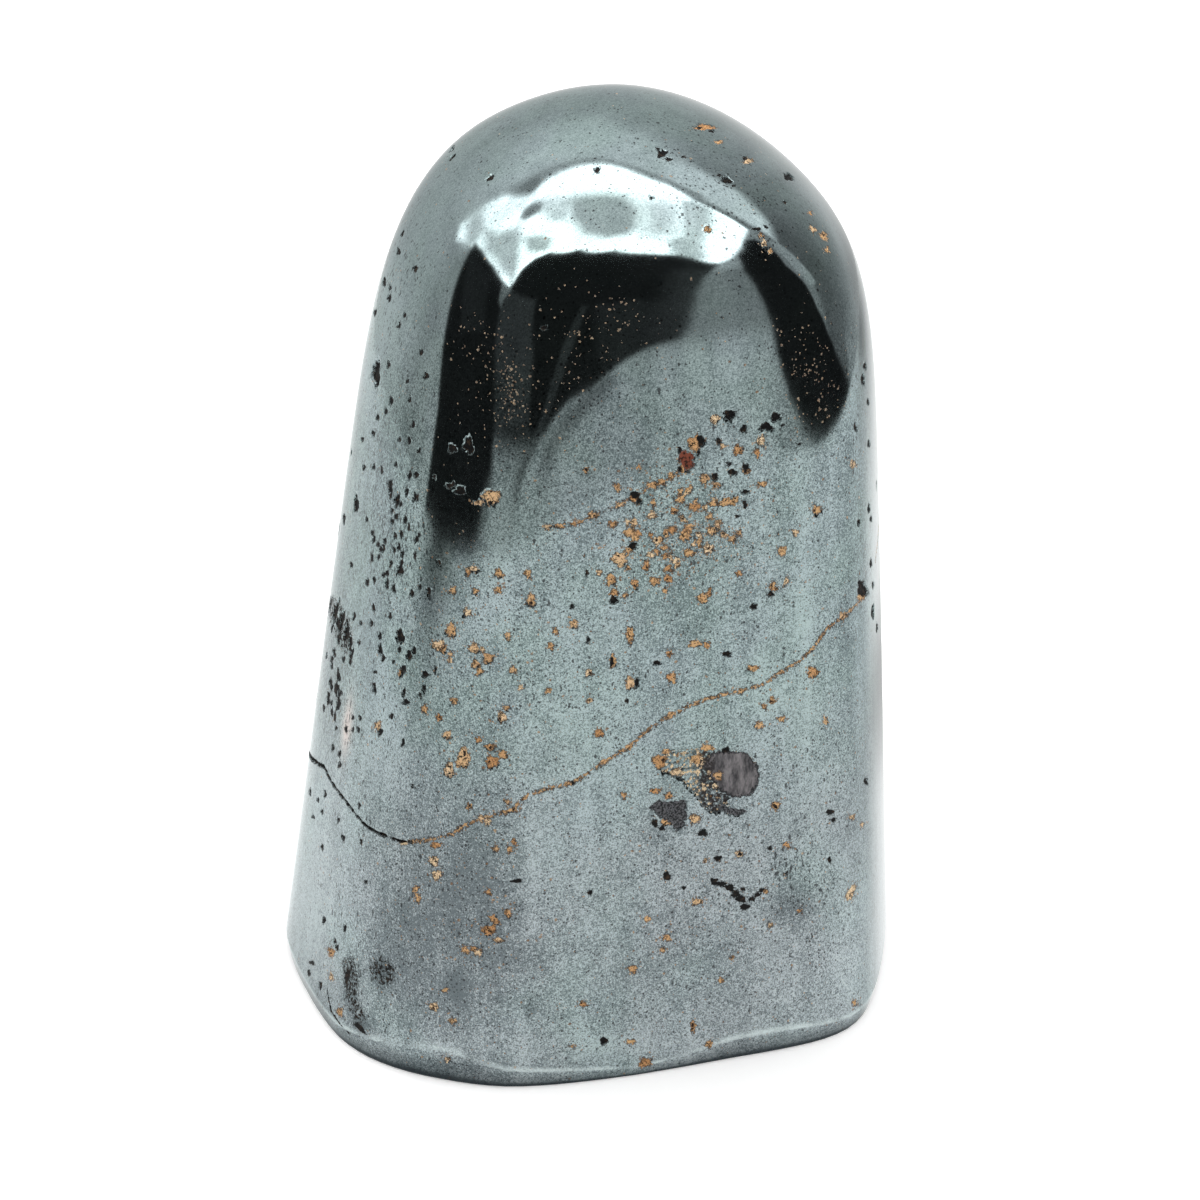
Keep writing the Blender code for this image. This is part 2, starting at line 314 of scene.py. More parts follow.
STREAK_FOOT = [(537, 436), (544, 436), (529, 468), (518, 488), (511, 486), (521, 464)]
WEDGE = [(540, 440), (546, 440), (535, 470), (533, 500), (528, 500), (530, 470)]
BROWN_STREAK = [(582, 305), (587, 307), (575, 340), (563, 375), (552, 404), (543, 434), (528, 470),
                (516, 500), (513, 498), (526, 462), (536, 434), (546, 402), (555, 370), (567, 336)]
BROWN_FOLD = [(596, 305), (640, 300), (680, 305), (680, 332), (640, 346), (604, 370), (597, 350)]
RIGHT_HAZE = [(672, 270), (712, 268), (702, 290), (692, 320), (680, 334), (670, 330), (666, 300)]
PENUMBRA = [(608, 374), (582, 396), (560, 418), (545, 442), (538, 470), (547, 474), (560, 448),
            (578, 424), (598, 402), (614, 384)]
RIGHT_RIM = [(840, 236), (852, 246), (866, 286), (870, 330), (862, 326), (850, 285)]
RIGHT_LIGHT = [(846, 338), (852, 326), (862, 314), (872, 330), (876, 420), (850, 460), (850, 400),
               (849, 365)]
BAND_EDGE = [(769, 242), (777, 242), (799, 261), (816, 282), (811, 286), (795, 269), (777, 251)]
BAND_FOLDS = [(BAND_EDGE, 0.75, 1.5)]
WALL_FOLDS = [(PENUMBRA, 0.30, 5.0), (RIGHT_LIGHT, 0.64, 9.0), (RIGHT_RIM, 0.5, 9.0)]
ROOM_FOLDS = [(COLUMN_FOOT, 0.5, 5.5), (LIGHT_GAP, 0.38, 1.2), (GREY_BAND, 0.085, 3.5),
              (BAND_FOOT, 0.68, 5.0), (BROWN_STREAK, 0.075, 1.5), (STREAK_FOOT, 0.2, 1.2),
              (WEDGE, 0.28, 1.4), (BROWN_FOLD, 0.05, 5.0), (COLUMN_TOP, 0.045, 4.0),
              (RIGHT_HAZE, 0.08, 7.0)]
ROOM_GLOW = 0.025
OPENING_SPILL = 0.5
print("the ceiling's middle, in degrees of azimuth and elevation:", mirrored(CEILING).mean(axis=0))

# %% How bright the tent glows in each direction
WALL_GLOW = {-180: 0.98, -150: 0.95, -140: 0.68, -110: 0.75, -60: 0.8, 5: 0.84, 13: 0.95, 19: 1.1,
             26: 0.9, 32: 0.75, 58: 0.5, 70: 0.5, 76: 0.26, 95: 0.28, 110: 0.4, 130: 0.6, 145: 0.93,
             180: 0.98}
WALL_RISE = {-25: 1.0, 0: 0.95, 12: 0.98, 25: 0.93, 42: 0.98, 53: 1.2, 62: 1.4, 90: 1.6}
STRIP_DIM = 0.45
STRIP_AZIMUTHS, STRIP_SIDE_SOFTNESS = (5, 30), 4
STRIP_HEIGHTS, STRIP_END_SOFTNESS = (2, 34), (9, 5)
CEILING_GLOW = 5.0
CLOTH_SOFTNESS = 1.6


def folded(glow, folds, azimuth, elevation):
    """A glow with folds painted over it, by outlines in degrees of azimuth and elevation."""
    for outline, own_glow, softness in folds:
        glow = mixed(glow, own_glow, step(depth_in(mirrored(outline), azimuth, elevation), softness))
    return glow


def tent_glow(azimuth, elevation):
    """The glow in each direction, painted one cloth over the other: walls, ceiling, openings.

    The ceiling's outlines are compared in plan, in hundredths of the tent's radius, and all
    others in degrees. One strip of the wall, right of the front, is dimmer than the rest.
    """
    plan_x, plan_y, _ = np.moveaxis(100 * facing(azimuth, elevation), -1, 0)
    glow = along(WALL_GLOW, azimuth) * along(WALL_RISE, elevation)
    strip = (step(elevation - STRIP_HEIGHTS[0], STRIP_END_SOFTNESS[0])
             * step(STRIP_HEIGHTS[1] - elevation, STRIP_END_SOFTNESS[1])
             * step(azimuth - STRIP_AZIMUTHS[0], STRIP_SIDE_SOFTNESS)
             * step(STRIP_AZIMUTHS[1] - azimuth, STRIP_SIDE_SOFTNESS))
    glow = glow * (1 - STRIP_DIM * strip)
    ceiling = [(CEILING, CEILING_GLOW, CLOTH_SOFTNESS)]
    for outline, own_glow, softness in DOME_FOLDS + ceiling + CEILING_FOLDS:
        plan = 100 * facing(*mirrored(outline).T)[:, :2]
        share = step(depth_in(plan, plan_x, plan_y), softness) * (elevation > 0)
        glow = mixed(glow, own_glow, share)
    glow = folded(glow, WALL_FOLDS, azimuth, elevation)
    room = folded(ROOM_GLOW + 0 * glow, ROOM_FOLDS, azimuth, elevation)
    for outline, behind in ((FRONT_OPENING, room), (RIGHT_OPENING, ROOM_GLOW)):
        inner = depth_in(mirrored(outline), azimuth, elevation) + OPENING_SPILL
        glow = mixed(glow, behind, step(inner, CLOTH_SOFTNESS))
    return folded(glow, BAND_FOLDS, azimuth, elevation)


print("folds:", len(DOME_FOLDS + CEILING_FOLDS + WALL_FOLDS + ROOM_FOLDS + BAND_FOLDS))

# %% A mesh from whole arrays
def grid_faces(rows, columns):
    """Triangles of a grid of rows by columns that closes on itself across its columns."""
    row, column = np.meshgrid(np.arange(rows - 1), np.arange(columns), indexing="ij")
    after = (column + 1) % columns
    a, b = row * columns + column, row * columns + after
    c, d = a + columns, b + columns
    return np.concatenate([np.stack([a, c, b], -1), np.stack([b, c, d], -1)]).reshape(-1, 3)


def object_of(name, points, faces, **values):
    """An object of triangles, with one attribute for each array of values per point."""
    mesh = bpy.data.meshes.new(name)
    mesh.vertices.add(len(points))
    mesh.vertices.foreach_set("co", points.astype(np.float32).ravel())
    mesh.loops.add(faces.size)
    mesh.loops.foreach_set("vertex_index", faces.astype(np.int32).ravel())
    mesh.polygons.add(len(faces))
    mesh.polygons.foreach_set("loop_start", np.arange(0, faces.size, 3, dtype=np.int32))
    mesh.update(calc_edges=True)
    for key, array in values.items():
        mesh.attributes.new(key, "FLOAT", "POINT").data.foreach_set("value", array.astype(np.float32))
    mesh.shade_smooth()
    made = bpy.data.objects.new(name, mesh)
    bpy.context.scene.collection.objects.link(made)
    return made


# %% Short words for shader nodes
class Shader:
    """The nodes of one material: each call adds a node and joins its named sockets."""

    def __init__(self, name):
        self.material = bpy.data.materials.new(name)
        self.material.use_nodes = True
        self.nodes = self.material.node_tree.nodes
        self.links = self.material.node_tree.links
        self.surface = self.nodes["Principled BSDF"]

    def set(self, socket, value):
        """Joins a socket to an output, or gives it a plain value."""
        if isinstance(value, bpy.types.NodeSocket):
            self.links.new(value, socket)
        else:
            socket.default_value = value

    def add(self, kind, output=0, settings=None, **inputs):
        """One node's output. Its inputs are given by name, or by number after a letter i."""
        node = self.nodes.new(kind)
        for key, value in (settings or {}).items():
            setattr(node, key, value)
        for key, value in inputs.items():
            self.set(node.inputs[int(key[1:]) if key[1:].isdigit() else key.replace("_", " ")], value)
        return node.outputs[output]

    def surface_with(self, **sockets):
        """Sets the surface's own sockets, named with a low line for each space."""
        for key, value in sockets.items():
            self.set(self.surface.inputs[key.replace("_", " ")], value)
        return self.material

    def math(self, operation, first, second=0.0, third=0.0):
        return self.add("ShaderNodeMath", 0, {"operation": operation}, i0=first, i1=second, i2=third)

    def joined(self, operation, total, *others):
        """Values joined by one operation, one after the other."""
        for other in others:
            total = self.math(operation, total, other)
        return total

    def plus(self, *values):
        return self.joined("ADD", *values)

    def times(self, *values):
        return self.joined("MULTIPLY", *values)

    def most(self, *values):
        return self.joined("MAXIMUM", *values)

    def ramp(self, value, low, high, to_low=0.0, to_high=1.0):
        """A value carried from one range to another, smoothly and without leaving it."""
        return self.add("ShaderNodeMapRange", 0, {"interpolation_type": "SMOOTHSTEP"},
                        Value=value, From_Min=low, From_Max=high, To_Min=to_low, To_Max=to_high)

    def mix(self, share, first, second):
        return self.add("ShaderNodeMix", 2, {"data_type": "RGBA"}, i0=share, i6=first, i7=second)

    def noise(self, place, size, detail=2.0, roughness=0.5):
        """Soft noise whose lumps are about one size, in metres."""
        return self.add("ShaderNodeTexNoise", 0, None, Vector=place, Scale=1 / size,
                        Detail=detail, Roughness=roughness)

    def attribute(self, name):
        return self.add("ShaderNodeAttribute", 2, {"attribute_name": name})


# %% The tent's dome
BLACK, WHITE = (0, 0, 0, 1), (1, 1, 1, 1)
tent_azimuth, tent_elevation = np.meshgrid(
    np.linspace(-180, 180, TENT_COLUMNS, endpoint=False), np.linspace(90, TENT_LOWEST, TENT_ROWS))
tent = object_of(
    "light_tent", (TENT_RADIUS * facing(tent_azimuth, tent_elevation) + HEART).reshape(-1, 3),
    grid_faces(TENT_ROWS, TENT_COLUMNS), glow=tent_glow(tent_azimuth, tent_elevation).ravel())
cloth = Shader("glowing tent cloth")
tent.data.materials.append(cloth.surface_with(
    Base_Color=BLACK, Specular_IOR_Level=0.0, Emission_Color=WHITE,
    Emission_Strength=cloth.attribute("glow")))
cloth.material.cycles.emission_sampling = "NONE"
tent.visible_camera = False
print("tent:", len(tent.data.polygons), "triangles")

# %% [markdown]
# ## The sheet under the stone
#
# The stone stands on a white sheet that reaches a quarter of a metre round it, and whose
# reflection in the polished skin ends where the sheet does. The camera is to see a plain pale
# floor instead, so there are two discs: one that only reflections see, with its light and
# shade painted per point, and a wide floor that everything else sees.

# %% Sheet and floor
SHEET_RADIUS = 0.25
SHEET_MIDDLE = -0.015
SHEET_TONE = 0.6
SHEET_GLOW = 0.45
FLOOR_RADIUS = 6.0
FLOOR_TONE = 0.8
FLOOR_GLOW = 0.42
FLOOR_BELOW = 0.05 * MM
PAPER_ROUGHNESS = 0.9
DISC_TURNS, DISC_RINGS = 96, 60
DISC_HOLE = 0.01
SHEET_SPOTS = [(-43, 40, 36, 0.28), (35, -25, 22, 0.3), (0, 0, 52, 0.22), (50, 52, 34, -0.28),
               (-262, 5, 70, -0.38), (90, 60, 22, 0.2), (170, 150, 55, -0.3)]


def disc(name, radius, middle, height, tone, evenly, spots):
    """A level disc of rings, finer towards the middle, with its own painted glow.

    To the even glow, each spot adds or takes a bell curve, by its place and spread in
    millimetres and its amount. Where the glow ends up under the even one, the disc's own tone
    darkens by the same share.
    """
    turns = np.linspace(0, 2 * np.pi, DISC_TURNS, endpoint=False)
    reach = radius * np.linspace(1, DISC_HOLE, DISC_RINGS)[:, None] ** 2
    x, y = middle + reach * np.cos(turns), reach * np.sin(turns)
    glow = evenly + 0 * x
    for at_x, at_y, spread, extra in spots:
        far = ((x / MM - at_x) ** 2 + (y / MM - at_y) ** 2) / spread**2
        glow = glow + extra * np.exp(-far)
    glow = np.maximum(glow, 0)
    points = np.stack([x, y, height + 0 * x], axis=-1).reshape(-1, 3)
    points = np.concatenate([points, [[middle, 0, height]]])
    glow = np.append(glow.ravel(), glow[-1, 0])
    last = len(points) - 1 - DISC_TURNS + np.arange(DISC_TURNS)
    cap = np.stack([last, np.roll(last, -1), np.full(DISC_TURNS, len(points) - 1)], axis=1)
    made = object_of(name, points, np.concatenate([grid_faces(DISC_RINGS, DISC_TURNS)[:, ::-1], cap]),
                     glow=glow, tone=tone * np.clip(glow / evenly, 0, 1))
    paper = Shader(name)
    made.data.materials.append(paper.surface_with(
        Base_Color=paper.attribute("tone"), Emission_Color=WHITE,
        Emission_Strength=paper.attribute("glow"), Roughness=PAPER_ROUGHNESS,
        Specular_IOR_Level=0.0))
    paper.material.cycles.emission_sampling = "NONE"
    return made


sheet = disc("white_sheet", SHEET_RADIUS, SHEET_MIDDLE, 0.0, SHEET_TONE, SHEET_GLOW, SHEET_SPOTS)
sheet.visible_camera = False
sheet.visible_diffuse = False
floor = disc("pale_floor", FLOOR_RADIUS, 0.0, -FLOOR_BELOW, FLOOR_TONE, FLOOR_GLOW, [])
floor.visible_glossy = False
print("sheet and floor:", len(sheet.data.polygons) + len(floor.data.polygons), "triangles")

world = bpy.data.worlds.new("pale room")
world.use_nodes = True
world.node_tree.nodes["Background"].inputs["Color"].default_value = WHITE
world.node_tree.nodes["Background"].inputs["Strength"].default_value = 1.0
bpy.context.scene.world = world
bpy.context.scene.view_settings.view_transform = "Standard"

# %% [markdown]
# ## The foot
#
# The foot is sawn flat, and the grinder leaves a narrow bevel round it, so that the edge
# does not chip. It is held by hand, so its height changes on the way round. On the mesh it
# is a profile carried round the rim: each row of it says, in shares of the bevel's height
# and of its depth, how high it lies and how far it has gone in from the skin.

# %% The coarse grid of the whole stone
COLUMNS, RINGS = 120, 56
BEVEL_HEIGHT = {-180: 1.4, -120: 1.4, -69: 1.6, -57: 2.7, -44: 3.7, -39: 3.0, -33: 2.1, -19: 1.5,
                -9: 1.0, 1: 1.5, 11: 2.5, 22: 2.5, 37: 1.6, 48: 1.4, 180: 1.4}
FOOT_PROFILE = ((1.3, 0.0), (1.12, 0.0), (1.03, 0.02), (0.96, 0.08), (0.5, 0.5), (0.08, 0.9),
                (0.02, 0.97), (0.0, 1.1))
FOOT_SHARES = (0.93, 0.8, 0.6, 0.4, 0.2)
SKIN_STARTS = 1.115
RIM_SHARE, RIM_MORE = 1.4, 0.6
INSET_SHARE, INSET_MORE = 0.2, 0.15


def rim_elevation(azimuth, height):
    """The elevation of rays from the heart that leave the skin at a height, by halving."""
    low, high = np.full(azimuth.shape, -80.0), np.full(azimuth.shape, 0.0)
    for _ in range(40):
        middle = (low + high) / 2
        way = facing(azimuth, middle)
        above = on_skin(HEART + way * MM)[..., 2] > height
        low, high = np.where(above, low, middle), np.where(above, middle, high)
    return (low + high) / 2


def bevel_share(points):
    """The height of points as a share of the bevel's own height at their azimuth."""
    azimuth = np.degrees(np.arctan2(points[:, 0] - HEART[0], HEART[1] - points[:, 1]))
    return points[:, 2] / MM / along(BEVEL_HEIGHT, azimuth)


def stone_grid():
    """Rings from the crown to the rim, then the foot's profile, then rings to its middle.

    A ring's elevation goes from straight up to the rim's own elevation in even steps. The
    rim's height and the bevel's depth are each a share of the bevel's height and a little more.
    """
    azimuth = np.linspace(-180, 180, COLUMNS, endpoint=False)
    bevel = along(BEVEL_HEIGHT, azimuth)
    lowest = rim_elevation(azimuth, (bevel * RIM_SHARE + RIM_MORE) * MM)
    down = (np.arange(1, RINGS + 1) / RINGS)[:, None]
    rings = on_skin(HEART + MM * facing(azimuth + 0 * down, 90 - (90 - lowest) * down))
    rows = [rings]
    for height, inset in FOOT_PROFILE:
        row = on_skin(HEART + MM * facing(azimuth, rim_elevation(azimuth, height * bevel * MM)))
        level = skin_normals(row) * (1, 1, 0)
        level /= np.linalg.norm(level, axis=1, keepdims=True)
        depth = (INSET_MORE + INSET_SHARE * bevel) * MM
        rows.append((row - (inset * depth)[:, None] * level)[None])
    middle = rows[-1][0].mean(axis=0)
    rows += [(middle + (rows[len(FOOT_PROFILE)][0] - middle) * share)[None] for share in FOOT_SHARES]
    grid = np.concatenate(rows)
    top = on_skin(HEART + np.array([[0, 0, MM]]))
    count = len(grid) * COLUMNS
    points = np.concatenate([grid.reshape(-1, 3), top, middle[None]])
    index = np.arange(COLUMNS)
    after = (index + 1) % COLUMNS
    crown = np.stack([np.full(COLUMNS, count), index, after], axis=1)
    last = count - COLUMNS
    sole = np.stack([last + index, np.full(COLUMNS, count + 1), last + after], axis=1)
    return points, np.concatenate([grid_faces(len(grid), COLUMNS), crown, sole])


points, faces = stone_grid()
print("coarse stone:", len(faces), "triangles, box", np.ptp(points, axis=0) / MM)

# %% [markdown]
# ## What is not iron
#
# The marks are the stone's character, so the ones that the photograph shows are placed one
# by one, by the pixel where each is seen, with its width and height in millimetres as they
# look from the eye, and its lean in degrees. Pits are open holes that the wheel did not
# reach. Ochre is soft earth that fills other holes to just under the polish. Stars are
# flat black inclusions, and one grain is red. A seeded scatter adds the small ones, and
# covers the hidden sides.

# %% Pits and stars, by pixel, width, height and lean, which is left out where it is nothing
SEEN_PITS = [
    (376, 373, 0.8, 2.4), (384, 282, 0.4, 0.9), (389, 298, 0.4, 0.7), (415, 269, 0.5, 0.6),
    (421, 352, 0.4, 0.6), (426, 376, 0.5, 0.6), (391, 401, 0.4, 0.8), (356, 504, 0.5, 1.6),
    (390, 483, 0.5, 0.7), (416, 475, 0.5, 0.6), (344, 519, 0.3, 1.0), (400, 570, 0.6, 1.0, 8),
    (330, 604, 0.3, 1.2, -12), (335, 612, 0.5, 1.8, -16), (341, 621, 0.5, 2.2, -12),
    (346, 632, 0.5, 1.9, -8), (350, 643, 0.4, 1.5), (332, 628, 0.2, 0.9, -12), (338, 640, 0.2, 1.0),
    (367, 582, 0.4, 0.8), (374, 580, 0.3, 0.7, 5), (387, 573, 0.4, 0.5), (387, 584, 0.3, 1.0),
    (412, 593, 0.3, 0.7, 5), (420, 587, 0.3, 0.5), (429, 592, 0.3, 1.0, 5), (394, 590, 0.3, 0.6, 9),
    (400, 636, 0.7, 1.4, 12), (380, 649, 0.4, 1.1, 5), (409, 655, 0.5, 0.9, 8), (414, 650, 0.4, 0.7),
    (403, 668, 0.5, 0.6), (390, 616, 0.3, 0.6), (375, 672, 0.5, 0.3), (425, 674, 0.6, 0.6),
    (424, 688, 0.4, 0.6), (420, 695, 0.3, 0.5, 20), (406, 702, 0.6, 0.5), (391, 716, 0.5, 0.5),
    (380, 732, 0.5, 0.8, -20), (614, 600, 0.8, 0.7), (587, 573, 0.3, 0.6, -10),
    (633, 546, 0.8, 0.6, 20), (715, 477, 0.6, 0.7), (734, 473, 0.7, 0.4, 10), (746, 468, 0.6, 0.8),
    (730, 415, 1.1, 0.9, 30), (744, 429, 0.6, 0.7), (767, 427, 1.2, 0.7, -10), (776, 417, 0.9, 0.8),
    (783, 425, 0.4, 0.3), (719, 441, 0.5, 0.6), (701, 441, 0.7, 1.0, 10), (680, 450, 0.4, 0.6, 20),
    (699, 453, 0.3, 0.5), (680, 469, 0.5, 0.5, 30), (635, 495, 0.8, 0.7), (627, 701, 0.4, 0.4),
    (637, 683, 0.4, 0.9, -10), (657, 663, 0.7, 0.4), (727, 654, 0.8, 0.5), (746, 492, 0.8, 0.4),
    (732, 472, 0.7, 0.6, 20), (753, 606, 0.5, 0.4), (588, 640, 0.4, 0.6), (572, 606, 0.4, 0.5),
    (612, 662, 0.4, 0.9), (639, 501, 0.5, 0.7), (726, 750, 0.8, 0.5), (718, 859, 0.7, 0.6),
    (740, 854, 0.4, 0.4), (776, 807, 0.4, 0.4), (834, 820, 0.5, 0.5), (770, 848, 0.4, 0.4),
    (787, 873, 0.4, 0.3), (684, 888, 0.4, 0.4), (604, 1041, 0.8, 0.7), (590, 893, 0.5, 0.5),
    (830, 860, 0.4, 0.7, 15), (866, 781, 0.4, 0.8, 10), (771, 594, 0.6, 0.5), (754, 607, 0.7, 0.5),
    (573, 783, 0.4, 0.4), (712, 131, 0.6, 0.3), (700, 127, 0.5, 0.3), (745, 158, 0.5, 0.4, 20),
    (727, 180, 1.0, 0.6, -20), (789, 177, 0.9, 0.8, 20), (785, 202, 0.4, 0.4), (663, 153, 0.9, 0.6, 20),
    (669, 159, 0.6, 0.4), (597, 170, 0.5, 0.5), (490, 178, 0.8, 0.4, 30), (651, 198, 0.4, 0.3),
    (863, 379, 0.4, 1.1), (871, 324, 0.3, 0.9), (863, 589, 1.0, 1.6, 20), (861, 588, 0.6, 0.8),
    (544, 328, 0.6, 0.5), (468, 446, 0.9, 1.6, 10), (452, 449, 0.8, 0.8), (460, 491, 1.0, 0.8),
    (449, 486, 0.6, 0.5), (872, 336, 0.3, 0.8), (865, 366, 0.4, 0.6), (874, 372, 0.3, 0.9),
    (868, 402, 0.3, 0.6), (869, 508, 0.3, 0.9), (871, 519, 0.3, 0.5), (871, 563, 0.3, 0.8),
    (873, 585, 0.3, 0.6), (873, 612, 0.4, 1.4), (877, 628, 0.3, 0.8), (310, 792, 0.3, 0.7),
    (318, 800, 0.3, 0.5), (325, 794, 0.3, 0.8), (322, 812, 0.3, 0.5), (313, 817, 0.4, 0.4),
    (343, 838, 0.4, 0.7), (361, 842, 0.3, 0.6),
]
SEEN_STARS = [
    (703, 833, 0.9, 0.7), (667, 876, 0.7, 1.0, 20), (438, 1044, 1.0, 0.7, 20), (715, 883, 0.7, 0.5),
    (830, 812, 0.8, 0.5), (517, 881, 1.2, 0.4, 5), (655, 823, 0.6, 0.8, 20), (347, 976, 0.5, 1.5, -12),
    (360, 1028, 0.5, 1.6, 50), (312, 963, 0.7, 0.4), (309, 973, 0.4, 0.7), (662, 828, 0.6, 0.5),
    (745, 505, 0.4, 0.8), (738, 516, 0.7, 0.3), (490, 503, 0.5, 0.4, 10), (757, 229, 0.9, 0.3),
    (766, 227, 0.5, 0.3, -40), (660, 156, 0.5, 0.4, 30), (658, 149, 0.4, 0.3), (684, 157, 0.5, 0.3),
    (719, 175, 0.4, 0.3), (733, 186, 0.4, 0.3, 20), (729, 464, 0.5, 0.4), (785, 859, 0.3, 0.2),
    (594, 1072, 0.8, 0.3), (799, 444, 0.5, 0.3), (338, 674, 0.3, 1.2, -2), (336, 689, 0.4, 1.4),
    (339, 703, 0.4, 1.2, 3), (335, 717, 0.3, 1.1), (331, 683, 0.3, 1.0), (328, 699, 0.3, 1.3),
    (332, 712, 0.3, 0.9), (324, 708, 0.3, 0.8), (372, 558, 0.3, 0.9), (409, 527, 0.3, 0.7),
    (415, 556, 0.3, 0.8), (419, 535, 0.3, 0.5), (405, 520, 0.3, 0.6), (382, 470, 0.3, 0.8),
    (714, 881, 0.9, 0.6), (722, 884, 1.0, 0.5), (730, 888, 1.1, 0.7, -30), (736, 894, 0.8, 0.8),
    (741, 899, 1.0, 0.7), (745, 907, 0.9, 0.7, 20), (752, 899, 0.6, 0.5), (757, 895, 0.8, 0.4, 20),
    (762, 890, 0.6, 0.4, 20), (743, 889, 0.5, 0.4),
]

